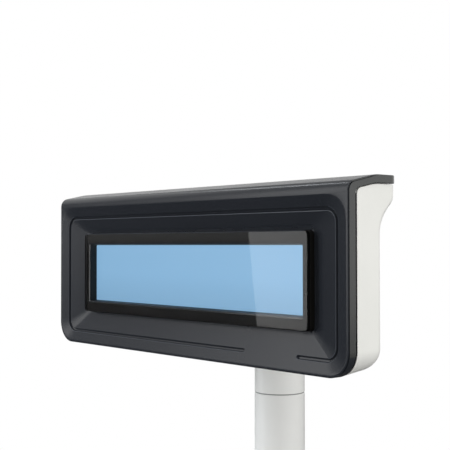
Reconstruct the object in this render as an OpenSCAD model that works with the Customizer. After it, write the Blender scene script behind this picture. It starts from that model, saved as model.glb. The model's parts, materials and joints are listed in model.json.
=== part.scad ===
// Customer pole display: a tilting and swivelling display head on a white pole with a weighted base.
// Origin on the pole axis at the counter top, +Z up, the screen faces -Y. Millimetres.

/* [Screen and head] */
// Width of the screen that shows in the window
screen_w = 155; // [120:0.1:180]
// Height of the screen that shows in the window
screen_h = 29.3; // [24:0.1:36]
// Distance from the screen to each side of the head
side_margin = 26; // [24:0.1:32]
// Distance from the screen to the lower edge of the head
chin_h = 22.25; // [20:0.05:28]
// Distance from the screen to the flat of the roof
forehead_h = 27.15; // [25:0.05:34]
// Height of the head's lower edge above the counter
head_z = 230; // [180:1:400]
// Radius of the head's two lower corners
corner_r = 10.4; // [7:0.1:14]
// Depth of the dark band that runs round the side of the head
band_d = 5.1; // [4.5:0.1:6]
// Depth of the roof from the front of the head to its back edge
roof_depth = 30.1; // [27:0.1:36]
// Thickness of the roof
roof_t = 3.3; // [2.5:0.1:4.5]
// Angle at which the roof rises behind the brow
roof_slope = 12; // [6:1:16]
// Distance behind the front at which the roof turns level
crest_y = 18.5; // [15:0.1:20]
// Radius of the turn from the sloping to the level roof
crest_r = 25; // [15:1:30]
// Radius of the brow, where the front turns into the roof
brow_r = 4.5; // [3:0.1:6]

/* [Front dish] */
// Width of the flat rim at the sides of the dish
rim_side = 1; // [0.6:0.1:2]
// Width of the flat rim under the dish
rim_bottom = 1.3; // [0.8:0.1:2]
// Distance of the dish's upper edge under the flat of the roof
dish_drop = 7.75; // [7:0.05:9]
// Corner radius of the dish at the rim
dish_r = 9; // [6:0.1:9]
// Depth of the dish at the window
dish_depth = 4.8; // [4:0.1:6]
// Wall behind the dish
dish_wall = 2; // [1.6:0.1:2.5]
// Width of the ornamental groove round the dish
groove_w = 1.8; // [1:0.1:2.5]
// Depth of the groove
groove_t = 0.8; // [0.4:0.1:1.2]
// Distance of the groove's centre line from the side of the head
groove_side = 7.05; // [6:0.05:9]
// Distance of the groove's lower run from the lower edge of the head
groove_low = 6.4; // [6:0.1:8]
// Distance of the groove's upper run under the upper edge of the dish
groove_high = 5.6; // [5:0.1:8]
// Corner radius of the groove, on its centre line
groove_r = 5.4; // [4:0.1:7]
// Length of the break in the groove's lower run
groove_break = 31; // [20:0.1:40]
// Distance of the break's right end from the side of the head
groove_end = 29.4; // [20:0.1:34]

/* [Window and screen] */
// Border of the clear window beside the screen
border_w = 3.75; // [3:0.05:5]
// Border of the clear window above and below the screen
border_h = 5.35; // [4.5:0.05:6]
// Corner radius of the window
window_r = 1.8; // [1:0.1:3]
// How far the window stands behind the front of the head
window_y = 0.9; // [0.4:0.1:1.5]
// Thickness of the clear window
window_t = 1.5; // [1:0.1:2]
// Gap between the window and the front shell
window_gap = 0.4; // [0.2:0.1:0.8]
// Depth of the window frame in front of the screen
frame_t = 3.6; // [2.8:0.1:4]
// Margin of the screen glass behind the window frame
glass_margin = 2.4; // [1.5:0.1:3]
// Thickness of the screen glass
glass_t = 2.2; // [1.5:0.1:2.4]
// Thickness of the backlight
backlight_t = 3.4; // [2.5:0.1:3.5]
// Margin of the circuit board beside the screen
board_side = 12.5; // [11.5:0.1:13]
// Margin of the circuit board above and below the screen
board_over = 8.35; // [8:0.05:9]
// Thickness of the circuit board
board_t = 1.6; // [1:0.1:1.6]

/* [Rear housing] */
// Distance of the housing's back wall behind the front of the head
back_y = 21.9; // [21:0.1:25]
// Wall of the housing and of the front shell's band
wall = 2; // [1.6:0.1:2.4]
// Step in from the front shell to the housing
housing_inset = 0.8; // [0.4:0.1:1.2]
// Seam between the front shell and the housing
seam_gap = 0.4; // [0.1:0.05:0.5]
// Radius of the upright back edges of the roof and of the lip under it
back_r = 4.5; // [3:0.1:6]
// Distance under the flat of the roof at which the back wall starts to sweep out
scoop_drop = 23.7; // [22:0.1:28]
// Radius of that sweep
scoop_r = 14; // [8:0.1:16]

/* [Tilt hinge] */
// Distance of the pole axis behind the front of the head
set_back = 63.8; // [58:0.1:80]
// Height of the tilt axis above the lower edge of the head
tilt_z = 20; // [16:0.1:26]
// Thickness of the neck's tongue
tongue_t = 14; // [11:0.1:15]
// Radius of the hinge eyes
eye_r = 11; // [9:0.1:12]
// Diameter of the tilt pin
pin_d = 6; // [4:0.1:7]
// Thickness of each friction washer
friction_t = 0.6; // [0.4:0.1:1]
// Thickness of each of the yoke's cheeks
cheek_t = 5.2; // [5:0.1:7]
// Width of the yoke's foot on the housing
yoke_w = 60; // [50:1:80]
// Height of the yoke's foot
yoke_h = 40; // [36:1:42]
// Thickness of the yoke's foot
yoke_t = 4; // [3:0.1:6]

/* [Neck and pole] */
// Outside diameter of the neck and the pole
pole_d = 25; // [24:0.1:30]
// Wall of the pole
pole_wall = 1.5; // [1:0.1:2]
// Distance of the swivel seam under the head
seam_drop = 21.7; // [15:0.1:40]
// Diameter of the neck's spigot
spigot_d = 16; // [14.5:0.1:17]
// Length of the swivel bush
bush_l = 28; // [20:1:40]
// Diameter of the cable passage
cable_d = 8; // [5:0.1:9]

/* [Base] */
// Width of the base
base_w = 170; // [160:1:220]
// Depth of the base
base_d = 130; // [120:1:170]
// Height of the base
base_h = 24; // [22:0.1:32]
// Distance of the base's middle in front of the pole
base_forward = 12; // [0:1:20]
// Corner radius of the base, seen from above
base_r = 18; // [14:1:24]
// Radius round the top edge of the base
base_edge_r = 7; // [4:0.1:8]
// Wall of the base cover
base_wall = 2.5; // [2:0.1:3]
// Thickness of the steel ballast plate
plate_t = 5; // [4:0.1:6]
// Thickness of the rubber pad
pad_t = 1.5; // [1:0.1:3]
// Distance between the counter bolts, side to side
mount_x = 130; // [120:1:140]
// Distance between the counter bolts, front to back
mount_y = 90; // [80:1:100]
// Diameter of the counter bolt holes
mount_d = 5.5; // [4:0.1:6.5]

/* [Hidden] */

$fn = 64;
fit = 0.05;             // radial clearance of a running or locating fit
play = 0.25;            // radial clearance of a screw or pin in its passage
touch = 0.02;           // play between flat faces that slide on each other
over = 1;               // how far a cut runs out of the face that it opens
hull_slice = 0.01;      // thickness of a slice that a blended shape is stretched over
arc_steps = 8;          // straight pieces in a profile arc

// Screws: diameter of the shank, diameter of the head and height of the head
board_screw = [2, 3.8, 1.4];
case_screw = [2.6, 5, 2];
yoke_screw = [2.6, 5, 2];
socket_screw = [4, 7, 2.2];
cover_screw = [3, 5.5, 1.6];
recess_w = 0.8;                                 // width of a cross recess
recess_span = 0.6;                              // its length, as a part of the head's diameter
recess_floor = 0.45;                            // its floor, as a part of the head's height
hole_end = 0.8;                                 // room in a blind hole past the tip of its screw

// Front of the head
head_w = screen_w + 2 * side_margin;
head_h = chin_h + screen_h + forehead_h;
brow_in_r = 2.5;                                // inner radius behind the brow
dish_top = head_h - dish_drop;
groove_loop_w = head_w - 2 * groove_side;
groove_loop_h = dish_top - groove_high - groove_low;
groove_z = groove_low + groove_loop_h / 2;
groove_start = head_w / 2 - groove_end;
groove_stop = groove_start - groove_break;
window_w = screen_w + 2 * border_w;
window_h = screen_h + 2 * border_h;
window_z = chin_h + screen_h / 2;
board_w = screen_w + 2 * board_side;
board_h = screen_h + 2 * board_over;

// Places along the depth of the head
front_t = 2;                                    // front shell behind its rim
window_back = window_y + window_t;
glass_y = window_back + frame_t;
floor_y = dish_depth + dish_wall;               // back of the dish's floor
flange_t = 1.4;                                 // flange of the window frame
flange_margin = 1.5;
seat_margin = 2.3;                              // flat seat of that flange round the opening
backlight_y = glass_y + glass_t;
board_y = backlight_y + backlight_t;
board_back = board_y + board_t;
housing_y = band_d + seam_gap;                  // front edge of the housing
inner_back = back_y - wall;
lip_over = 0.1;
lip_y = roof_depth + lip_over;                  // back edge of the housing under the roof

// Inside the head
cavity_drop = 2.2;
cavity_top = dish_top - cavity_drop;            // top of the room inside the front shell
scoop_z = head_h - scoop_drop;
spigot_t = 1.2;                                 // lip of the housing inside the front shell
spigot_gap = 0.2;
spigot_l = 2;
board_boss_r = 2.6;
board_screw_in = 3.5;                           // board screws from the edges of the board
case_boss_r = 3.5;
case_screw_x = (board_w / 2 + head_w / 2 - housing_inset - wall) / 2;
case_screw_low = 12;
case_screw_drop = 3;                            // upper case screws under the sweep
case_screw_z = [case_screw_low, scoop_z - case_screw_drop];
case_split = 4.2;                               // where the case bosses meet, behind the dish's floor
case_split_y = floor_y + case_split;
case_sink = 4.5;                                // seats of the case screws in the back wall
case_seat_y = back_y - case_sink;
chip_t = 1.5;
controller_w = 14;
driver_w = 22;
driver_h = 8;
driver_x = 0.3 * board_w;
header_w = 18;
header_h = 6;
header_t = 3.5;
header_wall = 1.2;
header_x = board_w / 6;
header_drop = 0.3 * board_h;
bushing_wall = 2;
bushing_lip = 1.5;
bushing_lip_t = 1.2;

// Tilt hinge, from the tongue outwards
tilt_axis_z = head_z + tilt_z;
washer_x = tongue_t / 2 + fit;
washer_in = 1;                                  // friction washer inside the edge of the eye
cheek_x = washer_x + friction_t;
cheek_out = cheek_x + cheek_t;
cap_t = 1;
pin_head_t = 2;
nut_t = 2.2;
hinge_pocket_r = 5.4;
pocket_play = 0.2;
arm_in = 1;                                     // hinge arms inside the yoke's upper and lower edge
arm_sunk = 0.1;                                 // edges of the hinge arms inside the rim of the eye
yoke_y = back_y + yoke_t;
yoke_r = 5;
yoke_screw_in = 6;                              // yoke screws from the edges of the foot
yoke_screw_x = yoke_w / 2 - yoke_screw_in;
yoke_screw_z = yoke_h / 2 - yoke_screw_in;
yoke_rise = 7;
yoke_z = tilt_z + yoke_rise;                    // middle of the yoke's foot
eye_clear = 6.5;                                // room between the yoke's eyes and the neck's shoulder
eye_drop = eye_r + eye_clear;

// Neck and swivel
seam_z = head_z - seam_drop;
shoulder_z = tilt_axis_z - eye_drop;
shoulder_chamfer = 2;
outlet_d = cable_d - 1;                         // cable outlet in the tongue
thrust_t = 0.6;
thrust_in = 0.4;                                // thrust washer inside the edge of the pole
pole_top = seam_z - touch - thrust_t;
pole_id = pole_d - 2 * pole_wall;
bush_d = pole_id - 2 * fit;
bush_bottom = pole_top - bush_l;
ring_t = 1.2;
ring_gap = 0.1;
ring_sunk = 0.9;                                // depth of the ring's groove in the spigot
ring_stand = 1;                                 // how far the ring stands out of the spigot
ring_open = 4;
ring_d = spigot_d + 2 * ring_stand;
ring_z = bush_bottom - ring_gap - ring_t;
stop_d = 3;
stop_drop = 3;
stop_z = ring_z - stop_drop;
stop_gap = 0.6;
stop_reach = pole_id / 2 - stop_gap;
spigot_tail = 5;
spigot_bottom = stop_z - spigot_tail;
lug_gap = 0.3;
lug_r = ring_d / 2 + lug_gap;
lug_half = 6;                                   // half the angle that the stop lug fills
lug_low = 0.5;
lug_bottom = stop_z - stop_d / 2 - lug_low;

// Base
plate_z = pad_t;
plate_top = plate_z + plate_t;
plate_gap = 0.4;
plate_inset = base_wall + plate_gap;
pad_margin = 8;
socket_flange_d = 56;
socket_flange_t = 5;
socket_h = 60;
socket_bore = cable_d + 2;
socket_pcd = 42;
pole_bottom = plate_top + socket_flange_t;
pole_play = 0.3;                                // gap between the pole and the base cover
clamp_d = 4;
clamp_rise = 7;
clamp_z = pole_bottom + clamp_rise;
clamp_l = 6;
clamp_key = 2.4;
clamp_key_t = 1.5;
cover_screw_in = 12;
cover_screw_x = base_w / 2 - cover_screw_in;
cover_screw_l = 8;                              // how far a cover screw stands in its boss
cover_boss_r = 4;
cover_seat = plate_z + cover_screw[2] + play;   // seats of the cover screws in the plate
boss_top = base_h - base_wall / 2;
weld_nut_d = 9.2;                               // across the corners
weld_nut_t = 4;
grommet_d = 8;
grommet_hole = 5;
grommet_lip = 1.6;                              // thickness of the grommet's two lips
grommet_lip_w = 1;
grommet_lip_d = grommet_d + 2 * grommet_lip_w;
grommet_gap = 0.2;
grommet_z = plate_top + grommet_lip_d / 2 + grommet_gap;
base_back = base_d / 2 - base_forward;

// Points on an arc about c, from angle a to angle b
function arc(c, r, a, b) =
    [for (i = [0:arc_steps]) let (t = a + (b - a) * i / arc_steps) c + r * [cos(t), sin(t)]];

// Points of a list in the other order
function reversed(list) = [for (i = [len(list) - 1:-1:0]) list[i]];

// The point at which a line from p touches a circle about c; side is 1 or -1
function tangent(p, c, r, side) =
    let (v = p - c, a = atan2(v[1], v[0]) + side * acos(r / norm(v))) c + r * [cos(a), sin(a)];

// Depth and height of the brow and roof, sunk by t, starting from a vertical face at y, with radius r
roof_rise = tan(roof_slope);
roof_start = head_h - crest_r * (1 - cos(roof_slope)) - (crest_y - crest_r * sin(roof_slope)) * roof_rise;
function brow(y, t, r) =
    let (corner = roof_start - t / cos(roof_slope) + y * roof_rise, reach = r * tan(45 - roof_slope / 2))
    concat(arc([y + r, corner - reach], r, 180, 90 + roof_slope),
        arc([crest_y, head_h - crest_r], crest_r - t, 90 + roof_slope, 90));

// Depth and height of the housing's back, sunk by t
function housing_back(t) =
    let (sweep = arc([back_y + scoop_r, scoop_z], scoop_r + t, 180, 135))
    let (end = sweep[arc_steps], lip = lip_y - t)
    concat([[back_y - t, -over]], sweep, [[lip, end[1] + lip - end[0]], [lip, head_h - housing_sink - t]]);

fascia_profile = concat([[0, -over]], brow(0, 0, brow_r),
    [[roof_depth, head_h], [roof_depth, head_h - roof_t]],
    reversed(brow(band_d, roof_t, brow_in_r)), [[band_d, -over]]);
housing_sink = roof_t + seam_gap;
housing_profile = concat([[housing_y, -over]], housing_back(0),
    reversed(brow(housing_y, housing_sink, brow_in_r)));
hollow_y = housing_y - over;
hollow_sink = housing_sink + wall;
hollow_profile = concat([[hollow_y, -over]], housing_back(wall),
    reversed(brow(hollow_y, hollow_sink, brow_in_r)));

// Extrudes a width-height outline along the depth, from a to b
module along_y(a, b) {
    translate([0, b, 0]) rotate([90, 0, 0]) linear_extrude(b - a) children();
}

// Extrudes a depth-height outline along the width, from a to b
module along_x(a, b) {
    translate([a, 0, 0]) rotate([90, 0, 90]) linear_extrude(b - a) children();
}

// A round bar along the depth, from a to b
module rod_y(d, a, b) {
    along_y(a, b) circle(d = d);
}

// A round bar along the width, from a to b
module rod_x(d, a, b) {
    along_x(a, b) circle(d = d);
}

// A round bar along the height, from a to b
module rod_z(d, a, b) {
    translate([0, 0, a]) cylinder(d = d, h = b - a);
}

module rounded(w, h, r) {
    square([w - 2 * r, h], center = true);
    square([w, h - 2 * r], center = true);
    for (x = [-1, 1], y = [-1, 1]) translate([x * (w / 2 - r), y * (h / 2 - r)]) circle(r);
}

// Puts what is modelled from the front of the head's lower edge in its place
module at_head() {
    translate([0, -set_back, head_z]) children();
}

// Puts children at the four corners of a rectangle in the front of the head
module at_corners(x, z) {
    for (sx = [-1, 1], sz = [-1, 1]) translate([sx * x, 0, sz * z]) children();
}

module at_window() {
    translate([0, 0, window_z]) children();
}

module at_case_screws() {
    for (sx = [-1, 1], z = case_screw_z) translate([sx * case_screw_x, 0, z]) children();
}

module at_board_screws() {
    at_window() at_corners(board_w / 2 - board_screw_in, board_h / 2 - board_screw_in) children();
}

module at_yoke_screws() {
    translate([0, 0, yoke_z]) at_corners(yoke_screw_x, yoke_screw_z) children();
}

// Outline of the head from the front, drawn in by a margin
module head_outline(margin) {
    w = head_w - 2 * margin;
    r = corner_r - margin;
    translate([-w / 2, corner_r]) square([w, head_h]);
    translate([r - w / 2, margin]) square([w - 2 * r, corner_r]);
    for (s = [-1, 1]) translate([s * (w / 2 - r), corner_r]) circle(r);
}

// The lower part of the head's outline, under the brow
module room_outline(margin, top) {
    intersection() {
        head_outline(margin);
        translate([-head_w, -head_h]) square([2 * head_w, head_h + top]);
    }
}

// The shallow dish in the front, moved back by a shift
module dish(shift) {
    rim_w = head_w - 2 * rim_side;
    rim_h = dish_top - rim_bottom;
    translate([0, shift, 0]) hull() {
        translate([0, 0, rim_bottom + rim_h / 2]) along_y(-over, 0) rounded(rim_w, rim_h, dish_r);
        at_window() along_y(dish_depth - hull_slice, dish_depth) window_outline(1.5 * window_gap);
    }
}

// Outline of the window, grown by a margin
module window_outline(margin) {
    rounded(window_w + 2 * margin, window_h + 2 * margin, window_r + margin);
}

// The closed loop of the groove, broken off at the lower right
module groove_outline() {
    difference() {
        rounded(groove_loop_w + groove_w, groove_loop_h + groove_w, groove_r + groove_w / 2);
        rounded(groove_loop_w - groove_w, groove_loop_h - groove_w, groove_r - groove_w / 2);
        translate([groove_stop, -groove_loop_h]) square([groove_break, groove_loop_h]);
    }
}

// Dark front shell with its brow and roof
module front_fascia() color("#3c3e43") at_head() difference() {
    union() {
        difference() {
            intersection() {
                along_x(-head_w / 2, head_w / 2) polygon(fascia_profile);
                along_y(-over, roof_depth + over) head_outline(0);
                plan_slice(roof_depth, 0, back_r, 0, head_h + over);
            }
            along_y(front_t, band_d + over) room_outline(wall, cavity_top);
        }
        dish(dish_wall);
        at_window() along_y(dish_depth, floor_y) window_outline(seat_margin);
        at_board_screws() rod_y(2 * board_boss_r, dish_depth, board_y);
        at_case_screws() rod_y(2 * case_boss_r, front_t, case_split_y);
    }
    dish(0);
    intersection() {
        translate([0, 0, groove_z]) along_y(-over, floor_y) groove_outline();
        dish(groove_t);
    }
    at_window() along_y(-over, floor_y + over) window_outline(window_gap);
    at_board_screws() rod_y(board_screw[0] + 2 * fit, floor_y - hole_end, board_y + over);
    at_case_screws() rod_y(case_screw[0] + 2 * fit, floor_y - hole_end, case_split_y + over);
}

// Clear acrylic window
module display_window() color("#9fb8c8", 0.4) at_head() at_window()
    along_y(window_y, window_back) window_outline(0);

// Black frame behind the window, which holds the screen
module window_frame() color("#161412") at_head() at_window() difference() {
    frame_back = floor_y + flange_t;
    union() {
        along_y(window_back, frame_back) window_outline(0);
        along_y(floor_y, frame_back) window_outline(flange_margin);
    }
    along_y(window_back - over, glass_y + over) square([screen_w, screen_h], center = true);
    along_y(glass_y, frame_back + over) screen_outline(0);
}

// Outline of the screen glass behind the window frame, less a clearance
module screen_outline(clearance) {
    margin = 2 * (glass_margin - clearance);
    square([screen_w + margin, screen_h + margin], center = true);
}

module screen_glass() color("#85b2d7") at_head() at_window()
    along_y(glass_y, backlight_y) screen_outline(fit);

module backlight() color("#eef2f4") at_head() at_window()
    along_y(backlight_y, board_y) screen_outline(fit);

// Circuit board that carries the screen
module display_board() color("#1f6b3c") at_head() difference() {
    at_window() along_y(board_y, board_back) square([board_w, board_h], center = true);
    at_board_screws() rod_y(board_screw[0] + 2 * play, board_y - over, board_back + over);
}

// Controller and two driver chips on the back of the board
module board_chips() color("#1b1b1d") at_head() at_window() along_y(board_back, board_back + chip_t) {
    square(controller_w, center = true);
    for (s = [-1, 1]) translate([s * driver_x, 0]) square([driver_w, driver_h], center = true);
}

// Cable header on the back of the board
module cable_header() color("#e9e4d4") at_head() translate([header_x, 0, window_z - header_drop])
    difference() {
        top = board_back + header_t;
        along_y(board_back, top) square([header_w, header_h], center = true);
        along_y(board_back + header_wall, top + over)
            square([header_w - 2 * header_wall, header_h - 2 * header_wall], center = true);
    }

// A pan-head screw along the depth: the head lies behind its seat, the shank runs forward to the tip
module screw_y(size, seat, tip) {
    top = seat + size[2];
    difference() {
        union() {
            rod_y(size[0], tip, seat + size[2] / 2);
            rod_y(size[1], seat, top);
        }
        for (a = [0, 90]) rotate([0, a, 0]) along_y(seat + size[2] * recess_floor, top + over)
            square([size[1] * recess_span, recess_w], center = true);
    }
}

module board_screws() color("#b9bcc0") at_head()
    at_board_screws() screw_y(board_screw, board_back, floor_y);

// White rear housing
module rear_housing() color("#e8e8e6") at_head() difference() {
    union() {
        difference() {
            housing_block(housing_inset, lip_y, back_r) polygon(housing_profile);
            housing_block(housing_inset + wall, lip_y - wall, back_r - wall) polygon(hollow_profile);
        }
        along_y(housing_y - spigot_l, housing_y + spigot_l) housing_spigot();
        at_case_screws() rod_y(2 * case_boss_r, case_split_y, inner_back + wall / 2);
    }
    at_case_screws() {
        rod_y(case_screw[0] + 2 * play, case_split_y - over, back_y);
        rod_y(case_screw[1] + 2 * play, case_seat_y, back_y + over);
    }
    at_yoke_screws() rod_y(yoke_screw[0] + 2 * play, inner_back - over, back_y + over);
    translate([0, 0, tilt_z]) rod_y(cable_d + 2 * bushing_wall, inner_back - over, back_y + over);
}

// The head seen from above as far as a depth, drawn in by a margin, with round back corners, from z a to b
module plan_slice(depth, margin, r, a, b) {
    w = head_w - 2 * margin;
    translate([0, 0, a]) linear_extrude(b - a) {
        translate([-w / 2, -over]) square([w, depth - r + over]);
        translate([r - w / 2, -over]) square([w - 2 * r, depth + over]);
        for (s = [-1, 1]) translate([s * (w / 2 - r), depth - r]) circle(r);
    }
}

// A depth-height outline over the width of the head, trimmed to its front outline less a margin and
// rounded at the back edges of its lip
module housing_block(margin, lip, r) {
    intersection() {
        along_x(-head_w / 2, head_w / 2) children();
        along_y(0, lip_y + over) head_outline(margin);
        plan_slice(lip, margin, r, 0, head_h);
    }
}

// Outline of the thin lip that locates the housing inside the front shell
module housing_spigot() {
    difference() {
        room_outline(wall + spigot_gap, cavity_top - spigot_gap);
        room_outline(wall + spigot_gap + spigot_t, cavity_top);
    }
}

module housing_screws() color("#8d9094") at_head()
    at_case_screws() screw_y(case_screw, case_seat_y, floor_y);

// Rubber bushing for the cable in the housing's back wall
module cable_bushing() color("#1c1c1e") at_head() translate([0, 0, tilt_z]) difference() {
    bushing_d = cable_d + 2 * bushing_wall;
    union() {
        rod_y(bushing_d - 2 * fit, inner_back, back_y);
        rod_y(bushing_d + 2 * bushing_lip, inner_back - bushing_lip_t, inner_back);
    }
    rod_y(cable_d, inner_back - bushing_lip_t - over, back_y + over);
}

// Outline of one hinge arm, from the yoke's foot to its eye
module arm_outline() {
    axis = [set_back, tilt_z];
    low = [yoke_y - yoke_t / 2, yoke_z - yoke_h / 2 + arm_in];
    high = [yoke_y - yoke_t / 2, yoke_z + yoke_h / 2 - arm_in];
    arm_r = eye_r - arm_sunk;
    polygon([low, high, tangent(high, axis, arm_r, -1), tangent(low, axis, arm_r, 1)]);
    translate(axis) circle(eye_r);
}

// White hinge yoke on the housing's back
module tilt_yoke() color("#e4e4e2") at_head() difference() {
    union() {
        translate([0, 0, yoke_z]) along_y(back_y, yoke_y) rounded(yoke_w, yoke_h, yoke_r);
        along_x(-cheek_out, -cheek_x) arm_outline();
        along_x(cheek_x, cheek_out) arm_outline();
    }
    at_yoke_screws() rod_y(yoke_screw[0] + 2 * fit, back_y - over, yoke_y - hole_end);
    translate([0, 0, tilt_z]) rod_y(cable_d, back_y - over, yoke_y + over);
    translate([0, set_back, tilt_z]) {
        rod_x(pin_d + 2 * fit, -cheek_out - over, cheek_out + over);
        rod_x(2 * hinge_pocket_r, -cheek_out - over, -cheek_out + cap_t + pin_head_t);
        rod_x(2 * hinge_pocket_r, cheek_out - cap_t - nut_t, cheek_out + over);
    }
}

// Screws that hold the yoke, put in from inside the housing: the heads lie in front of the wall
module yoke_screws() color("#8d9094") at_head() at_yoke_screws() {
    rod_y(yoke_screw[0], inner_back - yoke_screw[2] / 2, yoke_y - 2 * hole_end);
    rod_y(yoke_screw[1], inner_back - yoke_screw[2], inner_back);
}

// Puts what is modelled about the tilt axis in its place
module at_tilt() {
    translate([0, 0, tilt_axis_z]) children();
}

module friction_washers() color("#6b6e72") at_tilt() for (side = [-cheek_x, washer_x]) difference() {
    rod_x(2 * (eye_r - washer_in), side, side + friction_t);
    rod_x(pin_d + 2 * fit, side - over, side + friction_t + over);
}

// Tilt pin with its round head on the left
module tilt_pin() color("#a5a8ac") at_tilt() {
    head_out = -cheek_out + cap_t;
    rod_x(pin_d, head_out + pin_head_t / 2, cheek_out - cap_t);
    rod_x(2 * (hinge_pocket_r - pocket_play), head_out, head_out + pin_head_t);
}

module tilt_nut() color("#a5a8ac") at_tilt() difference() {
    nut_out = cheek_out - cap_t;
    along_x(nut_out - nut_t, nut_out) circle(hinge_pocket_r - pocket_play, $fn = 6);
    rod_x(pin_d + 2 * fit, nut_out - nut_t - over, nut_out + over);
}

// Two plastic caps over the ends of the tilt pin
module tilt_caps() color("#dededc") at_tilt() for (side = [-cheek_out, cheek_out - cap_t])
    rod_x(2 * (hinge_pocket_r - fit), side, side + cap_t);

// White neck: a column with the tilt tongue above and the swivel spigot below
module neck() color("#e6e6e4") difference() {
    chamfer_z = shoulder_z - shoulder_chamfer;
    outlet_z = shoulder_z + cable_d / 2;
    union() {
        rod_z(pole_d, seam_z, chamfer_z);
        translate([0, 0, chamfer_z])
            cylinder(d1 = pole_d, d2 = pole_d - 2 * shoulder_chamfer, h = shoulder_chamfer);
        at_tilt() along_x(-tongue_t / 2, tongue_t / 2) tongue_outline();
        rod_z(spigot_d, spigot_bottom, seam_z + over);
    }
    at_tilt() rod_x(pin_d + 2 * fit, -pole_d, pole_d);
    rod_z(cable_d, spigot_bottom - over, outlet_z);
    translate([0, 0, outlet_z]) rod_y(outlet_d, -pole_d, 0);
    translate([0, 0, stop_z]) rod_y(stop_d + 2 * fit, -pole_d, 0);
    difference() {
        rod_z(pole_d, ring_z - fit, ring_z + ring_t + fit);
        rod_z(spigot_d - 2 * ring_sunk, ring_z - over, ring_z + ring_t + over);
    }
}

// Outline of the neck's tongue about the tilt axis
module tongue_outline() {
    drop = eye_drop + shoulder_chamfer;
    circle(eye_r);
    translate([-eye_r, -drop]) square([2 * eye_r, drop]);
}

// Cross pin that meets the bush's lug at either end of the swivel
module stop_pin() color("#a5a8ac") translate([0, 0, stop_z]) rod_y(stop_d, -stop_reach, -cable_d / 2);

// Open snap ring that keeps the neck in its bush
module retaining_ring() color("#77797d") difference() {
    rod_z(ring_d, ring_z, ring_z + ring_t);
    rod_z(spigot_d - 2 * ring_sunk + 2 * fit, ring_z - over, ring_z + ring_t + over);
    translate([0, -ring_open / 2, ring_z - over]) cube([ring_d, ring_open, ring_t + 2 * over]);
}

// White pole
module pole() color("#e6e6e4") difference() {
    rod_z(pole_d, pole_bottom, pole_top);
    rod_z(pole_id, pole_bottom - over, pole_top + over);
    translate([0, 0, clamp_z]) rod_y(clamp_d + 2 * fit, 0, pole_d);
}

// Swivel bush in the top of the pole, with the stop lug at the back
module swivel_bush() color("#cfd0cc") {
    difference() {
        rod_z(bush_d, bush_bottom, pole_top);
        rod_z(spigot_d + 2 * fit, bush_bottom - over, pole_top + over);
    }
    translate([0, 0, lug_bottom]) rotate([0, 0, 90 - lug_half]) rotate_extrude(angle = 2 * lug_half)
        translate([lug_r, 0]) square([bush_d / 2 - lug_r, bush_bottom - lug_bottom]);
}

// Thin washer that shows as the seam of the swivel
module thrust_washer() color("#8f918f") difference() {
    rod_z(pole_d - 2 * thrust_in, pole_top, pole_top + thrust_t);
    rod_z(spigot_d + 2 * play, pole_top - over, pole_top + thrust_t + over);
}

// Puts children on the circle of the socket's screws
module at_socket_screws() {
    for (a = [45:90:315]) rotate([0, 0, a]) translate([socket_pcd / 2, 0, 0]) children();
}

// Flanged socket on the ballast plate that carries the pole
module pole_socket() color("#9b9ea2") difference() {
    socket_top = plate_top + socket_h;
    union() {
        rod_z(socket_flange_d, plate_top, pole_bottom);
        rod_z(pole_id - 2 * fit, plate_top, socket_top);
    }
    rod_z(socket_bore, plate_top - over, socket_top + over);
    translate([-socket_bore / 2, 0, plate_top - over])
        cube([socket_bore, socket_flange_d, socket_flange_t / 2 + over]);
    at_socket_screws() rod_z(socket_screw[0] + 2 * fit, plate_top - over, pole_bottom + over);
    translate([0, 0, clamp_z]) rod_y(clamp_d + 2 * fit, 0, pole_d);
}

// Screws from under the ballast plate into the socket
module socket_screws() color("#8d9094") at_socket_screws() {
    rod_z(socket_screw[0], plate_z, pole_bottom);
    rod_z(socket_screw[1], plate_z, plate_z + socket_screw[2]);
}

// Headless screw that clamps the pole on its socket
module clamp_screw() color("#55585c") translate([0, 0, clamp_z]) difference() {
    rod_y(clamp_d, pole_d / 2 - clamp_l, pole_d / 2);
    along_y(pole_d / 2 - clamp_key_t, pole_d / 2 + over) circle(d = clamp_key, $fn = 6);
}

// Moves children from the pole to the middle of the base
module at_base() {
    translate([0, -base_forward, 0]) children();
}

module at_mounts() {
    at_base() for (x = [-1, 1], y = [-1, 1]) translate([x * mount_x / 2, y * mount_y / 2, 0]) children();
}

module at_cover_screws() {
    at_base() for (x = [-1, 1]) translate([x * cover_screw_x, 0, 0]) children();
}

// Outline of the base from above, drawn in by a margin
module base_outline(margin) {
    rounded(base_w - 2 * margin, base_d - 2 * margin, base_r - margin);
}

// A round-edged block of the base, drawn in by a margin, from z = low to z = high
module base_block(margin, low, high) {
    edge = base_edge_r - margin;
    at_base() hull() {
        translate([0, 0, low]) linear_extrude(hull_slice) base_outline(margin);
        for (a = [0:15:90]) translate([0, 0, high - edge * (1 - sin(a)) - hull_slice])
            linear_extrude(hull_slice) base_outline(margin + edge * (1 - cos(a)));
    }
}

// White base cover
module base_cover() color("#e4e4e2") difference() {
    union() {
        difference() {
            base_block(0, plate_z, base_h, $fn = 32);
            base_block(base_wall, plate_z - over, base_h - base_wall, $fn = 32);
        }
        at_cover_screws() rod_z(2 * cover_boss_r, plate_top, boss_top);
    }
    at_cover_screws()
        rod_z(cover_screw[0] + 2 * fit, plate_top - over, plate_top + cover_screw_l + hole_end);
    rod_z(pole_d + 2 * pole_play, plate_top, base_h + over);
    translate([0, 0, grommet_z]) rod_y(grommet_d, base_back - 2 * base_wall, base_back + over);
}

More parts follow.
